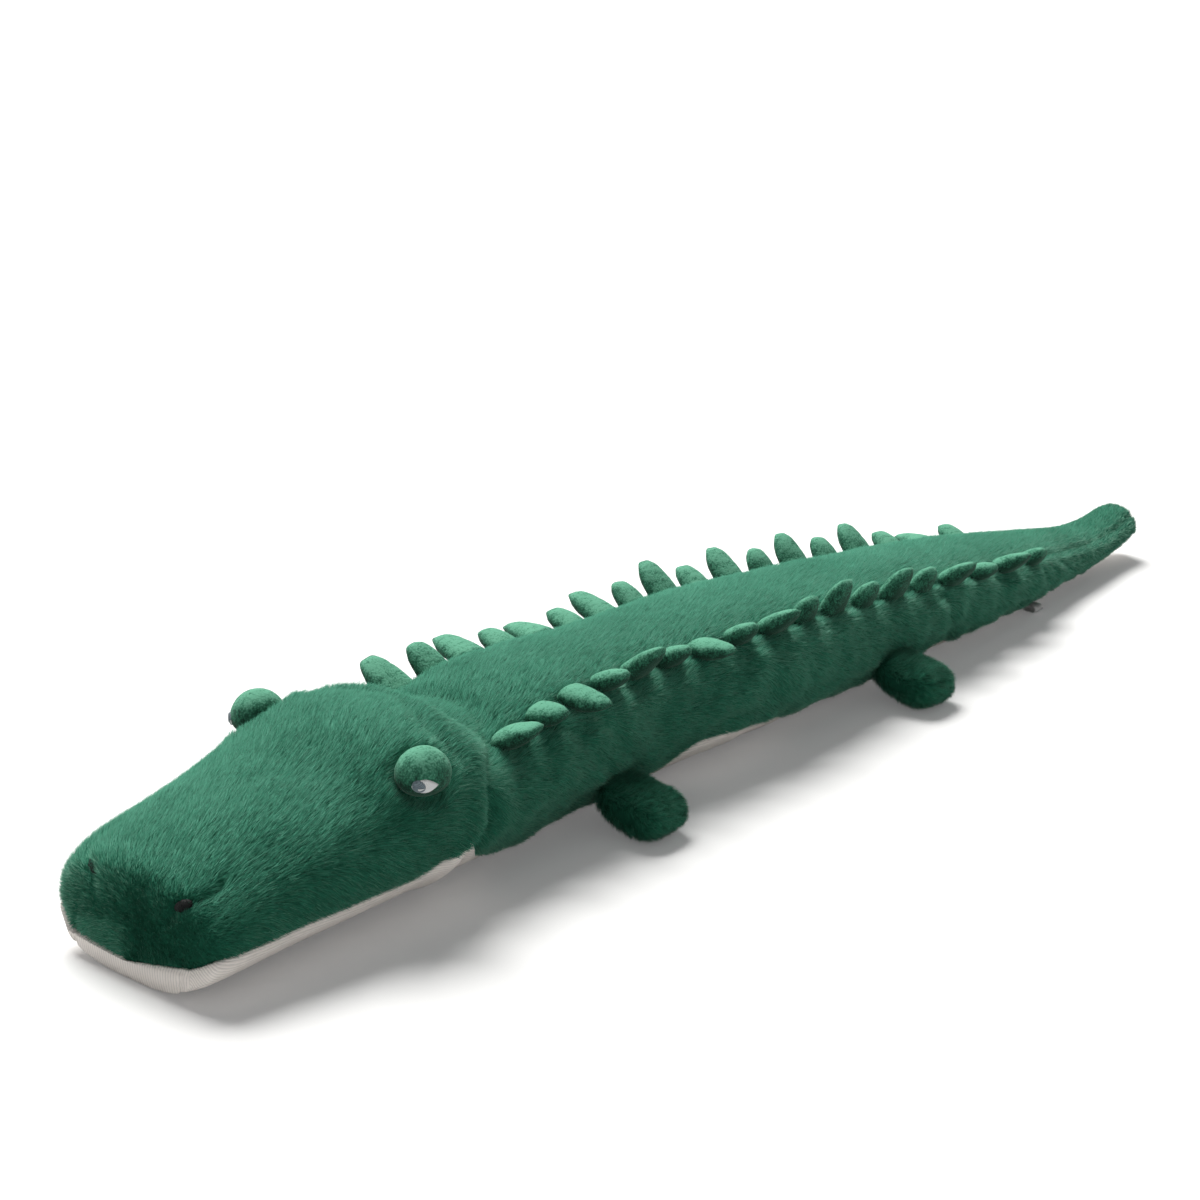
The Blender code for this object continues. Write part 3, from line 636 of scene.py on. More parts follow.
def mesh_piece(name, points, faces, material):
    """A smooth mesh object at the origin from arrays of points and equal-sided faces."""
    mesh = bpy.data.meshes.new(name)
    points = np.asarray(points, np.float32).reshape(-1, 3)
    faces = np.asarray(faces, np.int32)
    mesh.vertices.add(len(points))
    mesh.vertices.foreach_set("co", points.ravel())
    mesh.loops.add(faces.size)
    mesh.loops.foreach_set("vertex_index", faces.ravel())
    mesh.polygons.add(len(faces))
    mesh.polygons.foreach_set("loop_start", np.arange(len(faces), dtype=np.int32) * faces.shape[1])
    mesh.polygons.foreach_set("use_smooth", np.ones(len(faces), bool))
    mesh.update(calc_edges=True)
    mesh.validate()
    item = bpy.data.objects.new(name, mesh)
    bpy.context.scene.collection.objects.link(item)
    mesh.materials.append(material)
    return item


def deselect_all():
    for item in bpy.context.selected_objects:
        item.select_set(False)


def select_only(item):
    deselect_all()
    item.select_set(True)
    bpy.context.view_layer.objects.active = item


def mend_mesh(item, merge=0.0, close=False):
    """Merge points nearer than merge, close open ends, and turn the faces outward."""
    select_only(item)
    bpy.ops.object.mode_set(mode="EDIT")
    bpy.ops.mesh.select_all(action="SELECT")
    if merge:
        bpy.ops.mesh.remove_doubles(threshold=merge)
    if close:
        bpy.ops.mesh.select_all(action="DESELECT")
        bpy.ops.mesh.select_non_manifold()
        bpy.ops.mesh.edge_face_add()
        bpy.ops.mesh.select_all(action="SELECT")
    bpy.ops.mesh.normals_make_consistent(inside=False)
    bpy.ops.object.mode_set(mode="OBJECT")


# ---------------------------------------------------------------- materials


def new_group(name, inputs, outputs):
    """A node group with a vector in and the given values in and out."""
    group = bpy.data.node_groups.new(name, "ShaderNodeTree")
    group.interface.new_socket(name="Vector", in_out="INPUT", socket_type="NodeSocketVector")
    for socket_name, default in inputs:
        socket = group.interface.new_socket(
            name=socket_name, in_out="INPUT", socket_type="NodeSocketFloat")
        socket.default_value = default
    for socket_name in outputs:
        group.interface.new_socket(
            name=socket_name, in_out="OUTPUT", socket_type="NodeSocketFloat")
    entry = group.nodes.new("NodeGroupInput")
    leave = group.nodes.new("NodeGroupOutput")
    return group, entry, leave


def add_node(tree, kind, inputs=None, **settings):
    node = tree.nodes.new(kind)
    for key, value in settings.items():
        setattr(node, key, value)
    for key, value in (inputs or {}).items():
        node.inputs[key].default_value = value
    return node


def math_node(tree, operation, first, second=None):
    node = add_node(tree, "ShaderNodeMath", operation=operation)
    for socket, value in zip(node.inputs, (first, second)):
        if value is None:
            continue
        if isinstance(value, (int, float)):
            socket.default_value = value
        else:
            tree.links.new(value, socket)
    return node.outputs[0]


def mix_colours(tree, factor, first, second):
    """A mix of two colours; sockets 0, 6 and 7 are the factor and the two colours."""
    node = add_node(tree, "ShaderNodeMix", data_type="RGBA")
    for k, value in ((0, factor), (6, first), (7, second)):
        socket = node.inputs[k]
        if isinstance(value, (int, float)):
            socket.default_value = value
        elif isinstance(value, (tuple, list)):
            socket.default_value = (*value[:3], 1)
        else:
            tree.links.new(value, socket)
    return node.outputs[2]


def ramp_node(tree, factor, stops):
    """A colour ramp through stops of a position and a colour."""
    node = add_node(tree, "ShaderNodeValToRGB")
    ramp = node.color_ramp
    ramp.elements[0].position = stops[0][0]
    ramp.elements[1].position = stops[-1][0]
    for position, _ in stops[1:-1]:
        ramp.elements.new(position)
    in_order = sorted(ramp.elements, key=lambda element: element.position)
    for element, (position, colour) in zip(in_order, stops):
        element.position = position
        element.color = (*colour, 1)
    tree.links.new(factor, node.inputs[0])
    return node.outputs[0]


def mottle_group():
    """Soft uneven tint of a fabric, from large worn patches to small tufts."""
    group, entry, leave = new_group(
        "fabric_mottle",
        [("Patch size", 0.06), ("Tuft size", 0.006)],
        ["Patches", "Tufts"],
    )
    for socket, size, detail in (("Patches", "Patch size", 2.0), ("Tufts", "Tuft size", 3.0)):
        scale = math_node(group, "DIVIDE", 1.0, entry.outputs[size])
        field = add_node(group, "ShaderNodeTexNoise", {"Detail": detail, "Roughness": 0.55})
        group.links.new(entry.outputs["Vector"], field.inputs["Vector"])
        group.links.new(scale, field.inputs["Scale"])
        group.links.new(field.outputs["Fac"], leave.inputs[socket])


def nap_group():
    """The speckle of a short velvet nap: fine cells brushed along one way."""
    group, entry, leave = new_group(
        "velvet_nap",
        [("Grain", 0.0013), ("Brush", 0.35)],
        ["Speckle", "Height"],
    )
    scale = math_node(group, "DIVIDE", 1.0, entry.outputs["Grain"])
    fine = add_node(group, "ShaderNodeTexVoronoi", feature="F1")
    group.links.new(entry.outputs["Vector"], fine.inputs["Vector"])
    group.links.new(scale, fine.inputs["Scale"])
    brushed = add_node(group, "ShaderNodeMapping")
    brushed.inputs["Scale"].default_value = (1.0, 0.30, 0.55)
    group.links.new(entry.outputs["Vector"], brushed.inputs["Vector"])
    streak = add_node(group, "ShaderNodeTexNoise", {"Detail": 3.0, "Roughness": 0.6})
    group.links.new(brushed.outputs[0], streak.inputs["Vector"])
    streak_scale = math_node(group, "MULTIPLY", scale, entry.outputs["Brush"])
    group.links.new(streak_scale, streak.inputs["Scale"])
    cells = math_node(group, "SUBTRACT", 1.0, fine.outputs["Distance"])
    both = math_node(group, "MULTIPLY", cells, 0.45)
    total = math_node(group, "ADD", both, math_node(group, "MULTIPLY", streak.outputs["Fac"], 0.75))
    group.links.new(total, leave.inputs["Speckle"])
    group.links.new(total, leave.inputs["Height"])


def thread_group():
    """Rows of satin stitches: parallel threads with a little unevenness."""
    group, entry, leave = new_group(
        "satin_threads",
        [("Pitch", 0.0006)],
        ["Thread", "Height"],
    )
    scale = math_node(group, "DIVIDE", 0.31, entry.outputs["Pitch"])
    wave = add_node(
        group, "ShaderNodeTexWave", {"Distortion": 1.2, "Detail": 2.0, "Detail Scale": 1.5},
        wave_type="BANDS", bands_direction="X", wave_profile="SIN")
    group.links.new(entry.outputs["Vector"], wave.inputs["Vector"])
    group.links.new(scale, wave.inputs["Scale"])
    group.links.new(wave.outputs["Fac"], leave.inputs["Thread"])
    group.links.new(wave.outputs["Fac"], leave.inputs["Height"])


def blank_material(name, roughness, sheen, sheen_tint, specular):
    """The node tree and the shader of a new material."""
    material = bpy.data.materials.new(name)
    material.use_nodes = True
    shader = material.node_tree.nodes["Principled BSDF"]
    shader.inputs["Roughness"].default_value = roughness
    shader.inputs["Sheen Weight"].default_value = sheen
    shader.inputs["Sheen Roughness"].default_value = 0.45
    shader.inputs["Sheen Tint"].default_value = (*sheen_tint, 1)
    shader.inputs["Specular IOR Level"].default_value = specular
    return material.node_tree, shader


def bump_to(tree, shader, height, strength, distance):
    node = add_node(tree, "ShaderNodeBump", {"Strength": strength, "Distance": distance})
    tree.links.new(height, node.inputs["Height"])
    tree.links.new(node.outputs[0], shader.inputs["Normal"])


def place_group(tree, name, vector, sizes):
    """A node group of the given name, fed with a vector and with its sizes."""
    node = tree.nodes.new("ShaderNodeGroup")
    node.node_tree = bpy.data.node_groups[name]
    tree.links.new(vector, node.inputs["Vector"])
    for key, size in sizes.items():
        node.inputs[key].default_value = size
    return node


def fabric_mottle(tree, tuft, patch=0.06):
    """The uneven tint of a fabric, in the object's own coordinates."""
    coords = add_node(tree, "ShaderNodeTexCoord").outputs["Object"]
    return place_group(tree, "fabric_mottle", coords, {"Patch size": patch, "Tuft size": tuft})


def uv_parts(tree, layer):
    """The two values of a UV layer."""
    uv = add_node(tree, "ShaderNodeUVMap", uv_map=layer)
    split = add_node(tree, "ShaderNodeSeparateXYZ")
    tree.links.new(uv.outputs[0], split.inputs[0])
    return split.outputs["X"], split.outputs["Y"]


def shaded(share, colour):
    """A colour made darker, or paler up to white."""
    return tuple(min(share * value, 1) for value in colour)


def pile_material(name, root, mid, tip, sheen=0.40):
    """Fibres: darker to the root as painted shade deep in the pile, paler to the tip as painted
    sheen, with a tint of their own per tuft that also carries painted light from above.
    """
    tree, shader = blank_material(name, 0.70, sheen, (0.50, 0.95, 0.72), 0.06)
    own, height = uv_parts(tree, "OFBake")
    # Painted shade towards the root and painted sheen towards the tip.
    along = ramp_node(tree, height, [
        (0.0, root), (0.45, tuple(0.55 * a + 0.45 * b for a, b in zip(root, mid))),
        (0.80, mid), (1.0, tip)])
    # The tint ramp runs from a darker tone to a pale one. The fibres' own tone and painted light
    # from above (pale on top, shaded on the sides) set the place on it.
    pale = tuple(min(value * 1.9 + lift, 1) for value, lift in zip(mid, (0.090, 0.035, 0.065)))
    tint = ramp_node(tree, own, [(0.0, shaded(0.38, mid)), (0.5, mid), (1.0, pale)])
    colour = mix_colours(tree, 0.5, along, tint)
    tree.links.new(colour, shader.inputs["Base Color"])


def backing_material(name, colour):
    """The knitted ground under the pile."""
    tree, shader = blank_material(name, 0.95, 0.1, (0.5, 0.9, 0.7), 0.1)
    mottle = fabric_mottle(tree, 0.004)
    base = mix_colours(tree, mottle.outputs["Tufts"], shaded(0.45, colour), colour)
    tree.links.new(base, shader.inputs["Base Color"])
    bump_to(tree, shader, mottle.outputs["Tufts"], 0.6, 0.002)


def velvet_material(name, colour, grain, patch):
    """Short brushed velvet with dark speckles where it is pressed, and painted light: paler where
    it faces up, darker on its lower sides.
    """
    tree, shader = blank_material(name, 0.80, 0.18, (0.62, 0.95, 0.78), 0.06)
    coords = add_node(tree, "ShaderNodeTexCoord").outputs["Object"]
    nap = place_group(tree, "velvet_nap", coords, {"Grain": grain})
    mottle = fabric_mottle(tree, 0.0030, 0.014)
    # Painted light: the nap attribute is high on top and low on the lower sides.
    brushed = add_node(tree, "ShaderNodeAttribute", attribute_name="nap")
    total = math_node(tree, "MULTIPLY", brushed.outputs["Fac"], 1.25)
    for value, share in ((nap.outputs["Speckle"], 1.35), (mottle.outputs["Tufts"], 0.34),
                         (mottle.outputs["Patches"], patch)):
        total = math_node(tree, "ADD", total, math_node(tree, "MULTIPLY", value, share))
    total = math_node(tree, "SUBTRACT", total, 1.36 + 0.5 * patch)
    # The ramp's pale end is a painted highlight on top. Its dark end holds the speckles and the
    # painted shade on the lower sides.
    pale = tuple(min(1.75 * value + 0.060, 1) for value in colour)
    base = ramp_node(tree, total, [
        (0.0, shaded(0.20, colour)), (0.26, shaded(0.55, colour)), (0.50, colour), (0.84, pale)])
    tree.links.new(base, shader.inputs["Base Color"])
    height = math_node(tree, "ADD", nap.outputs["Height"], mottle.outputs["Tufts"])
    bump_to(tree, shader, height, 0.55, 0.0012)


def paint_light_from_above(mesh):
    """Paint light from above into the velvet: the nap value is high where it faces up, for a paler
    top and darker lower sides.
    """
    count = len(mesh.vertices)
    normals = np.zeros(count * 3)
    mesh.vertices.foreach_get("normal", normals)
    nap = 0.5 + 0.5 * normals.reshape(-1, 3)[:, 2]
    layer = mesh.attributes.new("nap", "FLOAT", "POINT")
    layer.data.foreach_set("value", nap.astype(np.float32))


def rib_material(name, colour):
    """Fine ribbed jersey: raised wales with painted shade in the grooves between them, slightly
    uneven.
    """
    tree, shader = blank_material(name, 0.85, 0.25, (1.0, 0.95, 0.9), 0.2)
    mottle = fabric_mottle(tree, 0.003, 0.03)
    wander = math_node(tree, "MULTIPLY", mottle.outputs["Patches"], 0.0016)
    across = math_node(tree, "ADD", uv_parts(tree, "fabric")[0], wander)
    turns = math_node(tree, "MULTIPLY", across, 2 * math.pi / RIB_PITCH)
    wave = math_node(tree, "SINE", turns)
    lift = add_node(tree, "ShaderNodeMath", operation="MULTIPLY_ADD")
    tree.links.new(wave, lift.inputs[0])
    lift.inputs[1].default_value = 0.5
    lift.inputs[2].default_value = 0.5
    # Painted shade: the ramp darkens the colour in the grooves, where the wave is low.
    base = ramp_node(tree, lift.outputs[0], [
        (0.0, shaded(0.72, colour)), (0.45, colour), (1.0, colour)])
    share = math_node(tree, "MULTIPLY", mottle.outputs["Tufts"], 0.5)
    fuzz = mix_colours(tree, share, base, shaded(1.12, colour))
    tree.links.new(fuzz, shader.inputs["Base Color"])
    tuft = math_node(tree, "MULTIPLY", mottle.outputs["Tufts"], 0.35)
    bump_to(tree, shader, math_node(tree, "ADD", lift.outputs[0], tuft), 0.5, 0.0006)


def thread_material(name, colour, pitch, turn, sheen=0.15, shine=0.45, depth=0.55):
    """Embroidery: glossy threads lying side by side, with painted shade between them as dark as
    depth sets.
    """
    tree, shader = blank_material(name, 0.45, sheen, (1, 1, 1), shine)
    coords = add_node(tree, "ShaderNodeTexCoord")
    mapping = add_node(tree, "ShaderNodeMapping")
    mapping.inputs["Rotation"].default_value = turn
    tree.links.new(coords.outputs["Object"], mapping.inputs["Vector"])
    threads = place_group(tree, "satin_threads", mapping.outputs[0], {"Pitch": pitch})
    # Painted shade between the threads.
    base = mix_colours(tree, threads.outputs["Thread"], shaded(depth, colour), colour)
    tree.links.new(base, shader.inputs["Base Color"])
    bump_to(tree, shader, threads.outputs["Height"], 0.8, 0.0004)


def filling_material(name):
    """Loose polyester fibre."""
    tree, shader = blank_material(name, 0.95, 0.2, (1, 1, 1), 0.1)
    mottle = fabric_mottle(tree, 0.008)
    base = ramp_node(tree, mottle.outputs["Tufts"], [
        (0.3, (0.62, 0.62, 0.60)), (0.7, (0.88, 0.88, 0.86))])
    tree.links.new(base, shader.inputs["Base Color"])
    bump_to(tree, shader, mottle.outputs["Tufts"], 0.8, 0.003)


def make_materials():
    colours = bpy.context.scene.croc_colours
    for group in (mottle_group, nap_group, thread_group):
        group()
    pile_material("plush_pile", tuple(colours.pile_root_shade), tuple(colours.pile_mid),
                  tuple(colours.pile_tip_sheen))
    # The legs' pile and backing are darker copies of the body's: painted shade, as the legs lie low
    # in shadow.
    pile_material("leg_pile", (0.004, 0.048, 0.027), (0.016, 0.170, 0.098),
                  (0.065, 0.330, 0.210), 0.28)
    backing_material("plush_ground", (0.016, 0.150, 0.088))
    backing_material("leg_ground", (0.009, 0.095, 0.054))
    velvet_material("spike_velvet", tuple(colours.velvet), 0.0015, 0.28)
    velvet_material("dome_velvet", tuple(colours.velvet), 0.0017, 0.60)
    rib_material("cream_rib_knit", tuple(colours.cream))
    # depth sets how dark the painted shade between the threads is.
    thread_material("white_satin", (0.93, 0.95, 0.95), 0.0007, (0.3, 0.2, 1.1), depth=0.84)
    thread_material("blue_grey_satin", (0.20, 0.27, 0.31), 0.0006, (0.3, 0.2, 1.1))
    thread_material("black_satin", (0.0025, 0.0040, 0.0035), 0.0007, (0.2, 0.9, 0.4), 0.0, 0.12)
    thread_material("sewing_thread", (0.006, 0.040, 0.024), 0.0008, (0.0, 0.0, 0.0))
    thread_material("label_ribbon", (0.91, 0.91, 0.90), 0.0005, (0.0, 0.0, 1.57), depth=0.80)
    filling_material("fibre_fill")


# ---------------------------------------------------------------- covers and fillings


def follow(item, zone):
    """Make a piece follow the head, trunk or tail; a piece at the neck or the tail's root is left
    in place, following no body.
    """
    if zone == "neck":
        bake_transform(item)
    elif zone == "tail_root":
        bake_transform(item)
    else:
        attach(item, zone)


def tucked(skin):
    """The grid's points with one more column on each side, turned in under the seam."""
    inward = np.array([0, 0, 0.0015])
    first = skin.points[:, :1] - skin.normals[:, :1] * 0.006 + inward
    last = skin.points[:, -1:] - skin.normals[:, -1:] * 0.006 + inward
    return np.concatenate([first, skin.points, last], axis=1)


def rib_layout(mesh, skin):
    """Ribs stand upright on the chin's front face and run along the body elsewhere."""
    layer = mesh.uv_layers.new(name="fabric")
    points = tucked(skin)
    rows, columns = points.shape[:2]
    steps = np.linalg.norm(np.diff(points, axis=1), axis=-1)
    arc = np.concatenate([np.zeros((rows, 1)), np.cumsum(steps, axis=1)], axis=1)
    arc = arc - arc[:, columns // 2][:, None]
    body = np.stack([arc, np.broadcast_to(skin.distance[:, None], arc.shape)], axis=-1)
    front = np.stack([points[..., 0], points[..., 2]], axis=-1)
    loops = np.zeros(len(mesh.loops), np.int32)
    mesh.loops.foreach_get("vertex_index", loops)
    row = loops // columns
    cap = skin.nose_rows | (skin.distance <= NOSE_RING)
    face_rows = row.reshape(-1, 4).min(axis=1)
    on_face = np.repeat(cap[face_rows] & cap[np.minimum(face_rows + 1, rows - 1)], 4)
    uv = np.where(on_face[:, None], front.reshape(-1, 2)[loops], body.reshape(-1, 2)[loops])
    layer.data.foreach_set("uv", uv.astype(np.float32).ravel())


def add_cover(name, start, end, under, material, zone, nodes):
    """A cover from one distance to another, green on top or cream underneath."""
    pile = bpy.context.scene.croc_pile
    inset = UNDER_INSET if under else pile.inset
    columns = UNDER_COLUMNS if under else GREEN_COLUMNS
    skin = Skin(start, end, GRID_STEP, columns, inset, under)
    points = tucked(skin)
    faces = grid_faces(*points.shape[:2], flip=under)
    item = mesh_piece(name, points, faces, bpy.data.materials[material])
    if under:
        rib_layout(item.data, skin)
    follow(item, zone)
    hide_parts(*nodes)


class CROC_OT_sew_covers(bpy.types.Operator):
    """Sew the green covers and the cream underside over the stuffed body"""

    bl_idname = "crocodile.sew_covers"
    bl_label = "Sew covers"

    def execute(self, context):
        add_cover("green_cover_front", 0, FRONT_REAR_SPLIT, False, "plush_ground", "neck",
                  ["head_cover", "back_panel", "left_side_panel", "right_side_panel"])
        add_cover("green_cover_rear", FRONT_REAR_SPLIT, TOTAL, False, "plush_ground", "tail_root",
                  ["tail_cover"])
        add_cover("cream_under_front", 0, FRONT_REAR_SPLIT, True, "cream_rib_knit", "neck",
                  ["chin_panel", "belly_panel"])
        add_cover("cream_under_rear", FRONT_REAR_SPLIT, TOTAL, True, "cream_rib_knit", "tail_root",
                  ["tail_under_panel"])
        return {"FINISHED"}


def add_filling(name, start, end, zone, node):
    """A closed lumpy roll of filling, a little inside the covers."""
    count = max(int((end - start) / 0.010), 8)
    distances = np.linspace(max(start, 0.008), min(end, TAIL_RING - 0.004), count)
    angles = np.arange(0, 360, 7.5)
    rings = body_point(distances[:, None], angles[None, :], FILLING_INSET)
    centre = rings.mean(axis=1, keepdims=True)
    ends = np.ones(count)
    ends[0] = 0.02
    ends[1] = 0.72
    ends[-1] = 0.02
    ends[-2] = 0.72
    rings = centre + (rings - centre) * ends[:, None, None]
    lumps = 1 + 0.03 * noise(rings, 0.030, 11)
    rings = centre + (rings - centre) * lumps[..., None]
    rings[..., 2] = np.maximum(rings[..., 2], 0.004)
    quads = tube_faces(count, len(angles))
    item = mesh_piece(name, rings, quads, bpy.data.materials["fibre_fill"])
    mend_mesh(item, merge=0.0002, close=True)
    follow(item, zone)
    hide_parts(node)


class CROC_OT_stuff_body(bpy.types.Operator):
    """Fill the head, the trunk and the tail with loose fibre"""

    bl_idname = "crocodile.stuff_body"
    bl_label = "Stuff body"

    def execute(self, context):
        add_filling("head_filling", 0.0, 0.285, "neck", "head_stuffing")
        add_filling("trunk_filling", 0.300, 0.985, "trunk", "trunk_stuffing")
        add_filling("tail_filling", 1.045, TOTAL, "tail_root", "tail_stuffing")
        return {"FINISHED"}


# ---------------------------------------------------------------- pile


def fibre_mesh(name, roots, tips, normals, width, tint, material):
    """Three-sided fibres from roots to tips, shaded like the surface that they cover."""
    count = len(roots)
    lean = unit(tips - roots)
    side = unit(np.cross(lean, normals))
    other = unit(np.cross(side, lean))
    half = width[:, None] / 2
    verts = np.zeros((count, 4, 3), np.float32)
    verts[:, 0] = roots + side * half
    verts[:, 1] = roots - side * half
    verts[:, 2] = roots + other * half * 0.6
    verts[:, 3] = tips
    base = np.arange(count, dtype=np.int32)[:, None] * 4
    corner = np.array([[0, 3, 2], [2, 3, 1], [1, 3, 0]], np.int32).ravel()
    faces = (base + corner[None, :]).reshape(-1, 3)
    item = mesh_piece(name, verts, faces, material)
    mesh = item.data
    # The UV holds the fibre's tint, painted light from above included, and runs from root to tip
    # for the painted root shade and tip sheen.
    layer = mesh.uv_layers.new(name="OFBake")
    spread = 0.004
    uv = np.zeros((count, 9, 2), np.float32)
    for k in range(3):
        uv[:, 3 * k, 0] = tint - spread
        uv[:, 3 * k + 1, 0] = tint
        uv[:, 3 * k + 2, 0] = tint + spread
        uv[:, 3 * k, 1] = 0.02
        uv[:, 3 * k + 1, 1] = 0.98
        uv[:, 3 * k + 2, 1] = 0.02
    layer.data.foreach_set("uv", uv.ravel())
    rng = np.random.default_rng(count)
    shade = unit(normals + 0.25 * lean + 1.2 * (rng.random((count, 3)) - 0.5))
    mesh.normals_split_custom_set_from_vertices(np.repeat(shade, 4, axis=0).tolist())
    return item


def grow_pile(name, skin, rows, count, zone, seed):
    """Fibres over a range of a skin's rows, gathered in tufts and combed to the tail."""
    pile = bpy.context.scene.croc_pile
    rng = np.random.default_rng(seed)
    first, last = rows
    points = skin.points
    along = np.linalg.norm(points[first + 1:last + 1, :-1] - points[first:last, :-1], axis=-1)
    around = np.linalg.norm(points[first:last, 1:] - points[first:last, :-1], axis=-1)
    area = (along * around).ravel()
    cumulative = np.cumsum(area)
    pick = np.searchsorted(cumulative, rng.random(count) * cumulative[-1])
    columns = skin.angle.shape[1] - 1
    row = first + pick // columns + rng.random(count)
    column = pick % columns + rng.random(count)
    mean_length = np.linalg.norm(np.diff(points, axis=0), axis=-1).mean(axis=1)
    meridian = np.concatenate([[0], np.cumsum(mean_length)])
    girth = np.linalg.norm(np.diff(points, axis=1), axis=-1).sum(axis=1)
    run = np.interp(row, np.arange(len(meridian)), meridian)
    width_here = np.interp(row, np.arange(len(girth)), girth)
    across = (column / columns - 0.5) * width_here
    cell = np.stack([np.floor(run / pile.clump / 1.4), np.floor(across / pile.clump)], axis=-1)
    jitter_a = hashed(cell, seed + 1)
    jitter_b = hashed(cell, seed + 2)
    clump_run = (cell[:, 0] + 0.2 + 0.6 * jitter_a) * pile.clump * 1.4
    clump_across = (cell[:, 1] + 0.2 + 0.6 * jitter_b) * pile.clump
    clump_row = np.interp(clump_run, meridian, np.arange(len(meridian)))
    clump_row = np.clip(clump_row, first, last)
    clump_column = np.clip((clump_across / width_here + 0.5) * columns, 0, columns)
    tangents = np.gradient(points, axis=0)

    def state(at_row, at_column, own):
        """The place, the normal and the combed heading at points of the skin."""
        place = skin.sample(at_row, at_column, points)
        normal = unit(skin.sample(at_row, at_column, skin.normals))
        forward = skin.sample(at_row, at_column, tangents)
        forward = unit(forward - normal * (forward * normal).sum(axis=-1, keepdims=True))
        sideways = np.cross(normal, forward)
        turn = 0.30 * noise(place, 0.035, 21) + 0.22 * noise(place, 0.011, 22)
        at = np.interp(at_row, np.arange(len(skin.distance)), skin.distance)
        blunt = np.clip(1 - (at - NOSE_RING) / 0.040, 0, 1)
        turn = turn + (0.50 + 1.20 * blunt) * (own - 0.5) + 0.25 * blunt * noise(place, 0.012, 23)
        flank = np.clip(1.15 - np.abs(normal[:, 2]) * 1.3 - 0.8 * np.abs(forward[:, 2]), 0, 1)
        droop = 0.50 * flank * smooth_step(at, 0.02, 0.08)
        turn = turn - np.sign(place[:, 0]) * droop
        heading = forward * np.cos(turn)[:, None] + sideways * np.sin(turn)[:, None]
        return place, normal, heading

    distance = np.interp(row, np.arange(len(skin.distance)), skin.distance)
    share = np.interp(row, np.arange(len(skin.share)), skin.share)
    root, normal, heading = state(row, column, rng.random(count))
    clump_root, clump_normal, clump_heading = state(
        clump_row, clump_column, hashed(cell, seed + 3))
    front = np.clip(1 - (distance - NOSE_RING) / 0.035, 0, 1) * np.clip(share, 0.6, 1)
    lean = pile.lean + (pile.front_lean - pile.lean) * front
    tuft_lean = lean + 0.22 * (hashed(cell, seed + 4) - 0.5)
    own_lean = lean + 0.50 * (rng.random(count) - 0.5)
    length = pile.length * (0.82 + 0.36 * hashed(cell, seed + 5))
    length = length * (0.80 + 0.35 * rng.random(count))
    edge = np.minimum(column, columns - column) / columns * width_here
    length = length * (0.78 + 0.22 * smooth_step(edge, 0.0, 0.010))
    length = length * (1 - 0.28 * front) * (1 - 0.38 * smooth_step(distance, 1.15, 1.34))

    def rise(heading_, normal_, lean_):
        return heading_ * np.cos(lean_)[:, None] + normal_ * np.sin(lean_)[:, None]

    tip = root + rise(heading, normal, own_lean) * length[:, None]
    tuft_tip = clump_root + rise(clump_heading, clump_normal, tuft_lean) * length[:, None] * 1.05
    tip = tip + (tuft_tip - tip) * (pile.gather * (0.75 + 0.5 * rng.random(count)))[:, None]
    sag = np.clip(1 - np.abs(normal[:, 2]), 0, 1)
    tip[:, 2] -= 0.0012 * sag + 0.0014 * front
    tip[:, 2] = np.maximum(tip[:, 2], 0.0006)
    keep = keep_fibres(root)
    patches = noise(root, 0.055, 31)
    small = noise(root, 0.012, 32)
    # Each tuft and fibre has a tone of its own. Painted light from above is added to it: paler
    # where the skin faces up, darker on the sides. The tint also darkens towards the tail's end and
    # on the snout's front face.
    tint = 0.5 + 0.15 * patches + 0.12 * small + 0.26 * (hashed(cell, seed + 6) - 0.5)
    tint = tint + 1.00 * (rng.random(count) - 0.5) + 0.72 * (normal[:, 2] - 0.50)
    tint = tint - 0.42 * smooth_step(distance, 1.04, 1.30) - 0.10 * front
    tint = np.clip(tint, 0.02, 0.98)
    width = pile.width * (0.75 + 0.5 * rng.random(count))
    item = fibre_mesh(name, root[keep], tip[keep], normal[keep], width[keep], tint[keep],
                      bpy.data.materials["plush_pile"])
    follow(item, zone)


def keep_fibres(root):
    """Leave the eye domes, the nostrils and the darts clear of pile."""
    keep = np.ones(len(root), bool)
    for side in (1, -1):
        away = (root - eye_centre(side)) / np.array(DOME_CLEAR)
        keep &= (away ** 2).sum(axis=-1) > 1
        angle = NOSTRIL_ANGLE if side > 0 else 180 - NOSTRIL_ANGLE
        nostril = body_point(NOSTRIL_DISTANCE, angle)
        keep &= np.linalg.norm(root - nostril, axis=-1) > (0.0042 if side > 0 else 0.0005)
    reach = np.abs(np.abs(root[:, 0]) - dart_line(root[:, 2]))
    keep &= ~((reach < 0.0017) & (root[:, 1] < -0.6920) & (root[:, 2] < 0.046))
    return keep


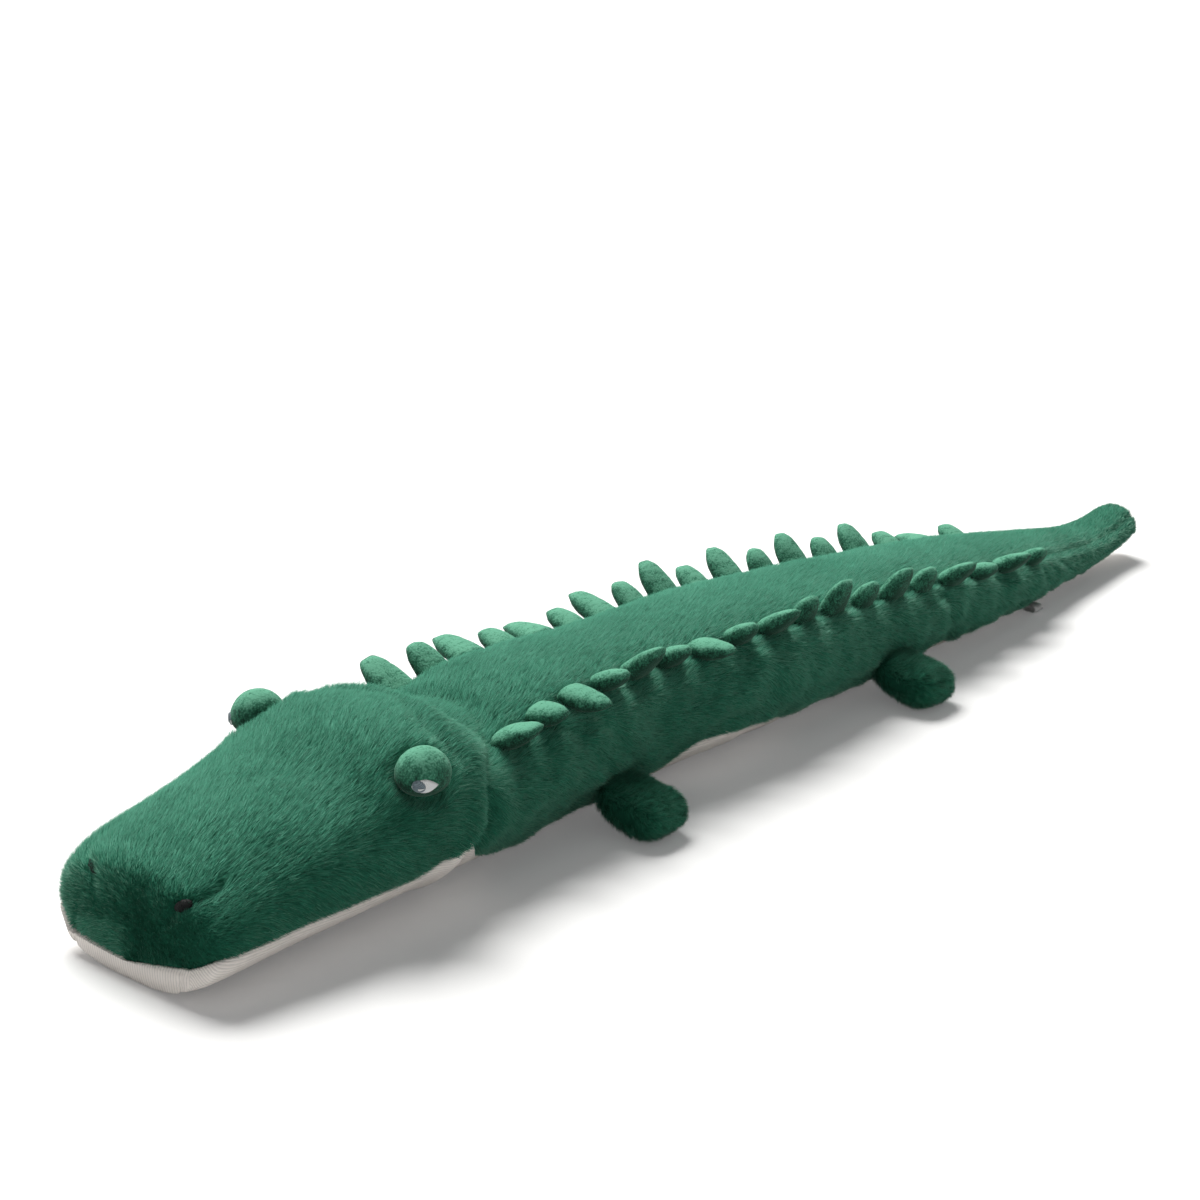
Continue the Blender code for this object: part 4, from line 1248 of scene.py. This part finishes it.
class CROC_OT_grow_pile(bpy.types.Operator):
    """Grow the combed pile over the green covers"""

    bl_idname = "crocodile.grow_pile"
    bl_label = "Grow pile"

    def execute(self, context):
        pile = context.scene.croc_pile
        skin = Skin(0, TOTAL, GRID_STEP, GREEN_COLUMNS, pile.inset, False)
        total = pile.fibres // 1
        lengths = np.linalg.norm(np.diff(skin.points, axis=1), axis=-1).sum(axis=1)
        steps = np.linalg.norm(np.diff(skin.points, axis=0), axis=-1).mean(axis=1)
        whole = (lengths[:-1] * steps).sum()
        spans = (
            ("snout_pile", 0.0, 0.115, "head"),
            ("brow_pile", 0.115, 0.235, "head"),
            ("neck_pile", 0.235, 0.355, "neck"),
            ("shoulder_pile", 0.355, 0.500, "trunk"),
            ("back_pile", 0.500, 0.650, "trunk"),
            ("loin_pile", 0.650, 0.810, "trunk"),
            ("rump_pile", 0.810, 0.980, "trunk"),
            ("tail_root_pile", 0.980, 1.150, "tail_root"),
            ("tail_end_pile", 1.150, 1.401, "tail"),
        )
        for seed, (name, start, end, zone) in enumerate(spans):
            inside = np.nonzero((skin.distance >= start) & (skin.distance < end))[0]
            first = inside[0]
            last = min(inside[-1] + 1, len(skin.distance) - 1)
            area = (lengths[first:last] * steps[first:last]).sum()
            count = int(total * area / whole)
            count = min(count, PIECE_FIBRES)
            grow_pile(name, skin, (first, last), count, zone, 100 + 17 * seed)
        return {"FINISHED"}


# ---------------------------------------------------------------- cloth


def inflate(item, pins, pressure, stiffness, cap):
    """Blow up a sewn cover with cloth physics, no point further than cap, and keep its form."""
    mesh = item.data
    count = len(mesh.vertices)
    rest = np.zeros(count * 3)
    mesh.vertices.foreach_get("co", rest)
    rest = rest.reshape(-1, 3)
    group = item.vertex_groups.new(name="sewn")
    group.add([int(i) for i in pins], 1.0, "REPLACE")
    cloth = item.modifiers.new("stuffing", "CLOTH")
    settings = cloth.settings
    settings.quality = 8
    settings.mass = 0.1
    settings.tension_stiffness = stiffness
    settings.compression_stiffness = stiffness
    settings.shear_stiffness = stiffness / 3
    settings.bending_stiffness = 0.2
    settings.use_pressure = True
    settings.uniform_pressure_force = pressure
    settings.effector_weights.gravity = 0
    settings.vertex_group_mass = group.name
    cloth.point_cache.frame_start = 1
    cloth.point_cache.frame_end = CLOTH_STEPS
    scene = bpy.context.scene
    for step in range(1, CLOTH_STEPS + 1):
        scene.frame_set(step)
    evaluated = item.evaluated_get(bpy.context.evaluated_depsgraph_get())
    moved = np.zeros(count * 3)
    evaluated.data.vertices.foreach_get("co", moved)
    shift = moved.reshape(-1, 3) - rest
    length = np.linalg.norm(shift, axis=1, keepdims=True)
    if not np.isfinite(length).all():
        raise RuntimeError(f"the cloth of {item.name} came apart")
    shift = shift * np.minimum(1, cap / np.maximum(length, 1e-9))
    item.modifiers.remove(cloth)
    item.vertex_groups.remove(group)
    mesh.vertices.foreach_set("co", (rest + shift).astype(np.float32).ravel())
    mesh.update()
    scene.frame_set(1)


# ---------------------------------------------------------------- spikes


def petal_points(length, height, thickness, depth, seed):
    """A stuffed petal: two velvet sheets that meet in a seam round the rim."""
    rings = 11
    spokes = 44
    radius = np.linspace(0.0, 1.0, rings + 1)[1:]
    turn = np.linspace(0, 2 * math.pi, spokes, endpoint=False)
    full = np.where(np.sin(turn) > 0, 2 / 3.1, 1.0)
    wide = signed_power(np.cos(turn), full)[None, :] * radius[:, None]
    tall = signed_power(np.sin(turn), full)[None, :] * radius[:, None]
    level = np.where(tall > 0, tall, 0)
    taper = 1 - 0.20 * level
    y = wide * length / 2 * taper
    z = np.where(tall > 0, tall * height, tall * depth)
    plump = thickness / 2 * np.clip(1 - radius ** 2.6, 0, 1)[:, None] ** 0.52
    plump = plump * (1 - 0.12 * level)
    flat = np.stack([np.zeros_like(y), y, z], axis=-1)
    crinkle = 1 + 0.16 * noise(flat + seed, 0.011, 41) * radius[:, None]
    near = np.stack([plump * crinkle, y, z], axis=-1)
    far = np.stack([-plump * crinkle, y, z], axis=-1)
    rim = 1 + 0.025 * noise(flat[-1] + seed, 0.007, 42)[:, None]
    near[-1] = near[-1] * rim
    middle = np.array([[thickness / 2, 0, 0], [-thickness / 2, 0, 0]])
    points = np.concatenate([near.reshape(-1, 3), far[:-1].reshape(-1, 3), middle])
    faces = []
    count = rings * spokes
    for k in range(spokes):
        m = (k + 1) % spokes
        for r in range(rings - 1):
            inner = r * spokes
            outer = inner + spokes
            faces.append((inner + k, outer + k, outer + m, inner + m))
            low = count + r * spokes
            high = count + (r + 1) * spokes if r + 1 < rings - 1 else (rings - 1) * spokes
            faces.append((low + m, high + m, high + k, low + k))
    fans = []
    top = len(points) - 2
    for k in range(spokes):
        m = (k + 1) % spokes
        fans.append((top, k, m))
        fans.append((top + 1, count + m, count + k))
    return points, faces, fans


def petal_mesh(name, length, height, seed):
    """A petal cut and sewn a little flat, then stuffed as cloth, with its root held in the seam."""
    points, faces, fans = petal_points(length, height, PETAL_THICKNESS, PETAL_DEPTH, seed)
    mesh = bpy.data.meshes.new(name)
    mesh.from_pydata(points.tolist(), [], faces + fans)
    mesh.polygons.foreach_set("use_smooth", np.ones(len(mesh.polygons), bool))
    mesh.update()
    pattern = bpy.data.objects.new(name, mesh)
    bpy.context.scene.collection.objects.link(pattern)
    inflate(pattern, np.nonzero(points[:, 2] < -0.002)[0], *PETAL_CLOTH)
    bpy.data.objects.remove(pattern)
    return mesh


def spike_matrix(side, index, distance):
    """Where a petal stands, and which way it lies."""
    angle = float(shoulder_angle(distance))
    if side > 0:
        angle += 3.2 * float(bump(distance, 0.72, 0.24))
    lay = (LEFT_LAYS if side > 0 else RIGHT_LAYS)[index] * math.radians(LAY_ANGLE)
    depth = LEFT_ROOT_DEPTH if side > 0 else RIGHT_ROOT_DEPTH
    root = Vector(body_point(distance, angle, depth))
    normal = Vector(body_normal(distance, angle))
    along = (Vector(body_point(distance + 0.006, angle, depth)) - root).normalized()
    up = Matrix.Rotation(lay, 3, along) @ normal
    across = along.cross(up)
    place = Matrix.Translation(root) @ Matrix((across, along, up)).transposed().to_4x4()
    if side < 0:
        place = Matrix.Scale(-1, 4, (1, 0, 0)) @ place
    return place


class CROC_OT_sew_spikes(bpy.types.Operator):
    """Sew the two rows of stuffed velvet spikes into the shoulder seams"""

    bl_idname = "crocodile.sew_spikes"
    bl_label = "Sew spikes"

    def execute(self, context):
        velvet = bpy.data.materials["spike_velvet"]
        sizes = context.scene.croc_pieces
        large = petal_mesh(
            "large_petal", sizes.large_spike_length, sizes.large_spike_height, 0.0)
        small = petal_mesh(
            "small_petal", sizes.small_spike_length, sizes.small_spike_height, 0.3)
        for side_name, side in (("left", 1), ("right", -1)):
            shift, sweep, (plump, long), tall = (
                (LEFT_ROW_SHIFT, LEFT_SWEEP, LEFT_PETAL_SCALE, LEFT_PETAL_HEIGHT) if side > 0
                else (RIGHT_ROW_SHIFT, RIGHT_SWEEP, RIGHT_PETAL_SCALE, RIGHT_PETAL_HEIGHT))
            for i, place in enumerate(spike_distances()):
                size = tall * (1 - 0.16 * i / (SPIKES - 1))
                mesh = (large if i % 2 == 0 else small).copy()
                lean = Matrix.Identity(4)
                lean[1][2] = sweep
                mesh.transform(lean @ Matrix.Diagonal((plump, long, size, 1)))
                mesh.transform(spike_matrix(side, i, place + shift))
                if side < 0:
                    mesh.flip_normals()
                # Painted light from above on the spike's velvet.
                paint_light_from_above(mesh)
                mesh.materials.append(velvet)
                item = bpy.data.objects.new(f"{side_name}_velvet_spike_{i + 1:02d}", mesh)
                context.scene.collection.objects.link(item)
                if i < 2:
                    follow(item, "neck")
                elif i < 13:
                    follow(item, "trunk")
                elif i < 17:
                    follow(item, "tail_root")
                else:
                    follow(item, "tail")
                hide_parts(f"{side_name}_spike_{i + 1:02d}")
        return {"FINISHED"}


# ---------------------------------------------------------------- legs


def leg_frame(body):
    """The hinge point and the outward, along and up directions of a leg."""
    joint = next(j for j in frame["joints"] if j["child"] == body)
    along = Vector(joint["axis"])
    if along.y < 0:
        along = -along
    side = 1 if body.startswith("left") else -1
    outward = Vector((along.y, -along.x, 0)).normalized() * side
    up = outward.cross(along) * side
    return Vector(joint["pos_m"]), outward, along, up


def leg_shape(body, half_length, inset):
    """Points of a leg's skin: a plump paddle that rises to the belly seam."""
    hinge, outward, along, up = leg_frame(body)
    rows, columns = 34, 48
    lat = np.linspace(-math.pi / 2, math.pi / 2, rows)[:, None]
    lon = np.linspace(0, 2 * math.pi, columns + 1)[None, :]
    plan = 2 / 4.4
    section = 2 / 2.8
    cx = signed_power(np.cos(lat), plan) * signed_power(np.cos(lon), section)
    cz = signed_power(np.cos(lat), plan) * signed_power(np.sin(lon), section)
    cy = signed_power(np.sin(lat), plan) * np.ones_like(lon)
    x = cx * (LEG_HALF_REACH - inset) + LEG_HALF_REACH - LEG_ROOT
    y = cy * (half_length - inset)
    z = cz * (LEG_HALF_HEIGHT - inset)
    inner = np.clip((0.040 - x) / 0.056, 0, 1)
    z = z * (1 - 0.10 * inner) + 0.0150 * inner ** 1.5
    base = 0.0008 + LEG_HALF_HEIGHT - hinge.z
    local = np.stack([x, y, z + base], axis=-1)
    axes = np.array([list(outward), list(along), list(up)])
    points = local @ axes + np.array(list(hinge))
    lumps = noise(points, 0.018, 51) * 0.0011
    centre = points.mean(axis=(0, 1))
    points = points + unit(points - centre) * lumps[..., None]
    points[..., 2] = np.maximum(points[..., 2], LEG_FLOOR_GAP)
    return points


class LegSkin:
    """A leg's skin, stuffed as cloth with its root held where it is sewn to the belly seam."""

    def __init__(self, body, half_length, inset):
        self.points = leg_shape(body, half_length, inset)
        self.stuff(body)
        normal = np.cross(np.gradient(self.points, axis=0), np.gradient(self.points, axis=1))
        normal = unit(normal)
        centre = self.points.mean(axis=(0, 1))
        if (normal * (self.points - centre)).sum() < 0:
            normal = -normal
        self.normals = normal

    def stuff(self, body):
        """Sew the grid to a closed cover, blow it up, and take its form back."""
        grid = self.points[1:-1, :-1]
        rows, columns = grid.shape[:2]
        ends = np.stack([self.points[0, :-1].mean(axis=0), self.points[-1, :-1].mean(axis=0)])
        points = np.concatenate([grid.reshape(-1, 3), ends])
        quads = tube_faces(rows, columns)
        first = rows * columns
        low = first - columns
        turns = [(k, (k + 1) % columns) for k in range(columns)]
        fans = [(first, a, b) for a, b in turns]
        fans += [(first + 1, low + b, low + a) for a, b in turns]
        mesh = bpy.data.meshes.new(body + "_pattern")
        mesh.from_pydata(points.tolist(), [], quads.tolist() + fans)
        centre = Vector(points.mean(axis=0))
        face = mesh.polygons[0]
        if face.normal.dot(face.center - centre) < 0:
            mesh.flip_normals()
        mesh.update()
        pattern = bpy.data.objects.new(body + "_pattern", mesh)
        bpy.context.scene.collection.objects.link(pattern)
        hinge, outward = leg_frame(body)[:2]
        reach = (points - np.array(list(hinge))) @ np.array(list(outward))
        inflate(pattern, np.nonzero(reach < 0.006)[0], *LEG_CLOTH)
        stuffed = np.zeros(len(points) * 3)
        mesh.vertices.foreach_get("co", stuffed)
        stuffed = stuffed.reshape(-1, 3)
        bpy.data.objects.remove(pattern)
        self.points[1:-1, :-1] = stuffed[:first].reshape(rows, columns, 3)
        self.points[1:-1, -1] = self.points[1:-1, 0]
        self.points[0] = stuffed[first]
        self.points[-1] = stuffed[first + 1]
        self.points[..., 2] = np.maximum(self.points[..., 2], LEG_FLOOR_GAP)

    sample = Skin.sample


def leg_pile(name, skin, outward, count, seed):
    """Short fibres all over a leg, combed outward."""
    rng = np.random.default_rng(seed)
    points = skin.points
    along = np.linalg.norm(np.diff(points, axis=0), axis=-1)[:, :-1]
    around = np.linalg.norm(np.diff(points, axis=1), axis=-1)[:-1]
    cumulative = np.cumsum((along * around).ravel())
    pick = np.searchsorted(cumulative, rng.random(count) * cumulative[-1])
    columns = points.shape[1] - 1
    row = pick // columns + rng.random(count)
    column = pick % columns + rng.random(count)
    root = skin.sample(row, column, points)
    normal = unit(skin.sample(row, column, skin.normals))
    cell = np.floor(root / 0.0034)
    wander = np.stack([hashed(cell, seed + k) for k in range(3)], axis=-1) - 0.5
    aim = np.array([*outward.xy, 0.0]) + np.array([0.0, 0.35, -0.25])
    forward = aim[None, :] + 1.3 * wander
    forward = unit(forward - normal * (forward * normal).sum(axis=-1, keepdims=True))
    lean = math.radians(40) + 0.4 * (rng.random(count) - 0.5)
    direction = forward * np.cos(lean)[:, None] + normal * np.sin(lean)[:, None]
    direction = unit(direction + 0.25 * (rng.random((count, 3)) - 0.5))
    length = bpy.context.scene.croc_pieces.leg_pile_length * (0.75 + 0.5 * rng.random(count))
    tip = root + direction * length[:, None]
    tip[:, 2] = np.maximum(tip[:, 2], 0.0005)
    tint = 0.5 + 0.2 * noise(root, 0.02, 61) + 0.3 * (hashed(cell, seed + 5) - 0.5)
    tint = np.clip(tint + 0.60 * (rng.random(count) - 0.5), 0.02, 0.98)
    width = LEG_FIBRE_WIDTH * (0.75 + 0.5 * rng.random(count))
    # The fibres take the leg pile's material, a darker copy painted in shade.
    return fibre_mesh(name, root, tip, normal, width, tint, bpy.data.materials["leg_pile"])


class CROC_OT_add_legs(bpy.types.Operator):
    """Add the four stuffed paddle legs and their short pile"""

    bl_idname = "crocodile.add_legs"
    bl_label = "Add legs"

    def execute(self, context):
        count = LEG_FIBRES
        for seed, (body, half) in enumerate((
            ("left_foreleg", FORELEG_HALF_LENGTH), ("right_foreleg", FORELEG_HALF_LENGTH),
            ("left_hind_leg", HIND_LEG_HALF_LENGTH), ("right_hind_leg", HIND_LEG_HALF_LENGTH),
        )):
            skin = LegSkin(body, half, LEG_INSET)
            rows, columns = skin.points.shape[:2]
            # The leg's backing takes a darker copy of the body's backing, painted in shade.
            item = mesh_piece(body + "_skin", skin.points, grid_faces(rows, columns),
                              bpy.data.materials["leg_ground"])
            mend_mesh(item, merge=0.0001)
            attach(item, body)
            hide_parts(body)
            hairs = leg_pile(body + "_pile", skin, leg_frame(body)[1], count, 300 + 11 * seed)
            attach(hairs, body)
        return {"FINISHED"}


# ---------------------------------------------------------------- eyes, nostrils and label


def eye_patch(name, side, outline, lift, puff, material, node):
    """A satin-stitched patch that follows the dome under it."""
    deselect_all()
    bpy.ops.mesh.primitive_circle_add(vertices=40, radius=1, fill_type="TRIFAN")
    item = bpy.context.object
    item.name = name
    bpy.ops.object.mode_set(mode="EDIT")
    bpy.ops.mesh.select_all(action="SELECT")
    bpy.ops.mesh.subdivide(number_cuts=5)
    bpy.ops.object.mode_set(mode="OBJECT")
    centre = Vector(eye_centre(1))
    level = Vector((0, 0, 1)).cross(GAZE).normalized()
    up = GAZE.cross(level)
    radii = Vector(PATCH_RADII)
    for vert in item.data.vertices:
        reach = min(math.hypot(vert.co.x, vert.co.y), 1)
        turn = math.atan2(vert.co.y, vert.co.x)
        across, high = outline(turn)
        place = GAZE * 0.021 + level * (across * reach) + up * (high * reach)
        ray = place.normalized()
        depth = radii.z * (UNDER_DOME if ray.z < 0 else 1)
        scaled = Vector((ray.x / radii.x, ray.y / radii.y, ray.z / depth))
        swell = puff * (1 - reach ** 4)
        rim = 0.0012 if reach > 0.97 else 0
        vert.co = centre + ray * (1 / scaled.length + lift + swell - rim)
    if side < 0:
        shift = float(eye_centre(1)[0] + eye_centre(-1)[0])
        for vert in item.data.vertices:
            vert.co.x = shift - vert.co.x
    mend_mesh(item)
    middle = Vector(eye_centre(side))
    face = item.data.polygons[0]
    if face.normal.dot(Vector(face.center) - middle) < 0:
        item.data.flip_normals()
    item.data.materials.append(bpy.data.materials[material])
    bpy.ops.object.shade_smooth()
    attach(item, "head")
    if node:
        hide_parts(node)


def almond(turn):
    """Round on the inner end and drawn out to a point on the outer end."""
    across = 0.0122 * math.cos(turn)
    high = 0.0066 * math.sin(turn)
    outer = max(math.cos(turn), 0)
    return across, high * (1 - 0.72 * outer ** 1.6)


def iris_outline(turn):
    return -0.0056 + 0.0056 * math.cos(turn), 0.0004 + 0.0056 * math.sin(turn)


def pupil_outline(turn):
    return -0.0052 + 0.0010 * math.cos(turn), -0.0016 + 0.0010 * math.sin(turn)


class CROC_OT_add_eyes(bpy.types.Operator):
    """Add the velvet eye domes with their embroidered whites and irises"""

    bl_idname = "crocodile.add_eyes"
    bl_label = "Add eyes"

    def execute(self, context):
        for side_name, side in (("left", 1), ("right", -1)):
            deselect_all()
            bpy.ops.mesh.primitive_uv_sphere_add(segments=72, ring_count=44, radius=1)
            dome = context.object
            dome.name = side_name + "_velvet_dome"
            centre = eye_centre(side)
            radii = np.array(DOME_RADII)
            count = len(dome.data.vertices)
            co = np.zeros(count * 3)
            dome.data.vertices.foreach_get("co", co)
            co = co.reshape(-1, 3)
            lumps = 1 + 0.018 * noise(co, 0.55, 71 + side) + 0.008 * noise(co, 0.2, 73)
            co[:, 2] *= np.where(co[:, 2] < 0, UNDER_DOME, 1)
            co = co * lumps[:, None] * radii + centre
            dome.data.vertices.foreach_set("co", co.astype(np.float32).ravel())
            dome.data.update()
            bpy.ops.object.shade_smooth()
            # Painted light from above on the dome's velvet.
            paint_light_from_above(dome.data)
            dome.data.materials.append(bpy.data.materials["dome_velvet"])
            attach(dome, "head")
            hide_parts(side_name + "_eye_dome")
            eye_patch(side_name + "_stitched_white", side, almond, 0.0002, 0.0009,
                      "white_satin", side_name + "_eye_white")
            eye_patch(side_name + "_stitched_iris", side, iris_outline, 0.0009, 0.0007,
                      "blue_grey_satin", side_name + "_iris")
            eye_patch(side_name + "_eye_glint", side, pupil_outline, 0.0018, 0.0004,
                      "white_satin", None)
        return {"FINISHED"}


class CROC_OT_add_nostrils(bpy.types.Operator):
    """Embroider the two nostrils"""

    bl_idname = "crocodile.add_nostrils"
    bl_label = "Add nostrils"

    def execute(self, context):
        for side_name, side in (("left", 1), ("right", -1)):
            deselect_all()
            bpy.ops.mesh.primitive_uv_sphere_add(segments=40, ring_count=24, radius=1)
            pad = context.object
            pad.name = side_name + "_nostril_stitches"
            depth = LEFT_NOSTRIL_DEPTH if side > 0 else RIGHT_NOSTRIL_DEPTH
            root = Vector(body_point(NOSTRIL_DISTANCE, NOSTRIL_ANGLE, depth))
            normal = Vector(body_normal(NOSTRIL_DISTANCE, NOSTRIL_ANGLE))
            level = normal.cross(Vector((0, 0, 1))).normalized()
            up = level.cross(normal)
            turn = Matrix.Rotation(math.radians(NOSTRIL_TILT), 3, normal)
            level = turn @ level
            up = turn @ up
            for vert in pad.data.vertices:
                x, y, z = vert.co
                wraps = 0.00018 * math.cos(x * 30)
                side_step = level * x * NOSTRIL_LENGTH + up * y * (NOSTRIL_WIDTH + wraps)
                vert.co = root + side_step + normal * z * (NOSTRIL_HEIGHT + wraps)
                if side < 0:
                    vert.co.x = -vert.co.x
            if side < 0:
                pad.data.flip_normals()
            pad.data.update()
            bpy.ops.object.shade_smooth()
            pad.data.materials.append(bpy.data.materials["black_satin"])
            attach(pad, "head")
            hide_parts(side_name + "_nostril")
        return {"FINISHED"}


class CROC_OT_add_label(bpy.types.Operator):
    """Sew a small blank ribbon loop into the belly seam near the tail"""

    bl_idname = "crocodile.add_label"
    bl_label = "Add label loop"

    def execute(self, context):
        angle = float(seam_at(LABEL_DISTANCE))
        root = Vector(body_point(LABEL_DISTANCE, angle))
        root = root + Vector(body_normal(LABEL_DISTANCE, angle)) * 0.0006
        deselect_all()
        bpy.ops.mesh.primitive_grid_add(x_subdivisions=28, y_subdivisions=10, size=1)
        loop = context.object
        loop.name = "folded_label"
        half_fold = LABEL_HALF_FOLD
        reach = LABEL_REACH
        wide = context.scene.croc_pieces.label_width
        for vert in loop.data.vertices:
            run = (vert.co.x + 0.5) * (2 * reach + math.pi * half_fold)
            if run < reach:
                x, z = run, half_fold
            elif run > reach + math.pi * half_fold:
                x, z = 2 * reach + math.pi * half_fold - run, -half_fold
            else:
                turn = (run - reach) / half_fold
                x, z = reach + half_fold * math.sin(turn), half_fold * math.cos(turn)
            pinch = smooth_step(x, 0.0, 0.007)
            z = z * (0.25 + 0.75 * float(pinch))
            droop = 0.10 * x
            ripple = 0.0004 * math.sin(vert.co.y * 7 + x * 300)
            vert.co = root + Vector((x - 0.0035, vert.co.y * wide, z - droop + ripple))
        loop.data.update()
        select_only(loop)
        wall = loop.modifiers.new("ribbon thickness", "SOLIDIFY")
        wall.thickness = LABEL_THICKNESS
        wall.offset = 0
        bpy.ops.object.modifier_apply(modifier=wall.name)
        bpy.ops.object.shade_smooth()
        loop.data.materials.append(bpy.data.materials["label_ribbon"])
        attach(loop, "tail")
        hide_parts("label_loop")
        return {"FINISHED"}


# ---------------------------------------------------------------- stage


def light(name, place, target, size, power, colour):
    deselect_all()
    bpy.ops.object.light_add(type="AREA", location=place)
    lamp = bpy.context.object
    lamp.name = name
    lamp.data.shape = "DISK"
    lamp.data.size = size
    lamp.data.energy = power
    lamp.data.color = colour
    aim = Vector(target) - Vector(place)
    lamp.rotation_euler = aim.to_track_quat("-Z", "Y").to_euler()


def seen_directly(tree):
    """1 where the camera sees the surface, also in a mirror or through glass."""
    path = add_node(tree, "ShaderNodeLightPath")
    seen = math_node(
        tree, "MAXIMUM", path.outputs["Is Camera Ray"], path.outputs["Is Glossy Ray"])
    return math_node(tree, "MAXIMUM", seen, path.outputs["Is Transmission Ray"])


class CROC_OT_set_stage(bpy.types.Operator):
    """Set the pale floor, the soft lights and the camera"""

    bl_idname = "crocodile.set_stage"
    bl_label = "Set stage"

    def execute(self, context):
        stage = context.scene.croc_stage
        deselect_all()
        bpy.ops.mesh.primitive_plane_add(size=stage.floor_size, location=(0, 0, 0))
        floor = context.object
        floor.name = "studio_floor"
        material = bpy.data.materials.new("studio_white")
        material.use_nodes = True
        tree = material.node_tree
        shader = tree.nodes["Principled BSDF"]
        shader.inputs["Base Color"].default_value = (0.89, 0.89, 0.89, 1)
        shader.inputs["Roughness"].default_value = 0.95
        shader.inputs["Specular IOR Level"].default_value = 0.0
        coords = add_node(tree, "ShaderNodeTexCoord")
        away = add_node(tree, "ShaderNodeVectorMath", operation="LENGTH")
        tree.links.new(coords.outputs["Object"], away.inputs[0])
        # Painted light: for the camera the floor glows, from 0.12 near the toy to 0.95 far from it,
        # so the far floor reads white while the toy's shadow stays.
        glow = add_node(tree, "ShaderNodeMapRange", {
            "From Min": 1.3, "From Max": 5.0, "To Min": 0.12, "To Max": 0.95})
        tree.links.new(away.outputs["Value"], glow.inputs["Value"])
        seen = math_node(tree, "MULTIPLY", seen_directly(tree), glow.outputs[0])
        tree.links.new(seen, shader.inputs["Emission Strength"])
        shader.inputs["Emission Color"].default_value = (1, 1, 1, 1)
        floor.data.materials.append(material)
        world = bpy.data.worlds.new("studio_room")
        context.scene.world = world
        world.use_nodes = True
        room = world.node_tree
        background = room.nodes["Background"]
        background.inputs["Color"].default_value = (1, 1, 1, 1)
        spread = add_node(room, "ShaderNodeMapRange", {"To Min": stage.world_level, "To Max": 1.0})
        room.links.new(seen_directly(room), spread.inputs["Value"])
        room.links.new(spread.outputs[0], background.inputs["Strength"])
        light("key_light", (-4.2, 1.9, 6.5), (0, 0, 0), 5.2, stage.key_power, (1.0, 0.99, 0.97))
        light("front_fill", (3.2, -5.2, 3.4), (0, -0.1, 0.05), 4.4, stage.fill_power,
              (0.97, 0.99, 1.0))
        camera_data = bpy.data.cameras.new("studio_camera")
        camera = bpy.data.objects.new("studio_camera", camera_data)
        context.scene.collection.objects.link(camera)
        camera_data.sensor_width = 36.0
        camera_data.sensor_fit = "HORIZONTAL"
        camera_data.lens = stage.lens
        azimuth = math.radians(CAMERA_AZIMUTH)
        elevation = math.radians(CAMERA_ELEVATION)
        back = Vector((math.sin(azimuth) * math.cos(elevation),
                       -math.cos(azimuth) * math.cos(elevation), math.sin(elevation)))
        right = (-back).cross(Vector((0, 0, 1))).normalized()
        up = right.cross(-back)
        place = Matrix((right, up, back)).transposed().to_4x4()
        place.translation = Vector(CAMERA_PLACE) + up * CAMERA_UP + right * CAMERA_RIGHT
        camera.matrix_world = place
        context.scene.camera = camera
        context.scene.view_settings.view_transform = "Standard"
        return {"FINISHED"}


class CROC_PT_dressing(bpy.types.Panel):
    """Lists the steps that dress the crocodile"""

    bl_idname = "CROC_PT_dressing"
    bl_label = "Crocodile"
    bl_space_type = "VIEW_3D"
    bl_region_type = "UI"
    bl_category = "Crocodile"

    def draw(self, context):
        column = self.layout.column()
        for name in SETTINGS:
            settings = getattr(context.scene, name)
            for key in settings.bl_rna.properties.keys():
                if key not in ("rna_type", "name"):
                    column.prop(settings, key)
        for step in STEPS:
            column.operator(step.bl_idname)


STEPS = (
    CROC_OT_sew_covers,
    CROC_OT_stuff_body,
    CROC_OT_grow_pile,
    CROC_OT_sew_spikes,
    CROC_OT_add_legs,
    CROC_OT_add_eyes,
    CROC_OT_add_nostrils,
    CROC_OT_add_label,
    CROC_OT_set_stage,
)
SETTINGS = {
    "croc_pile": CrocodilePileSettings,
    "croc_colours": CrocodileColourSettings,
    "croc_pieces": CrocodilePieceSettings,
    "croc_stage": CrocodileStageSettings,
}
CLASSES = (*SETTINGS.values(), *STEPS, CROC_PT_dressing)


def register():
    for item in CLASSES:
        bpy.utils.register_class(item)
    for key, settings in SETTINGS.items():
        setattr(bpy.types.Scene, key, bpy.props.PointerProperty(type=settings))


def unregister():
    for key in reversed(SETTINGS):
        delattr(bpy.types.Scene, key)
    for item in reversed(CLASSES):
        bpy.utils.unregister_class(item)


def main():
    register()
    make_materials()
    bpy.ops.crocodile.sew_covers()
    bpy.ops.crocodile.stuff_body()
    bpy.ops.crocodile.grow_pile()
    bpy.ops.crocodile.sew_spikes()
    bpy.ops.crocodile.add_legs()
    bpy.ops.crocodile.add_eyes()
    bpy.ops.crocodile.add_nostrils()
    bpy.ops.crocodile.add_label()
    bpy.ops.crocodile.set_stage()
    deselect_all()


if __name__ == "__main__":
    main()
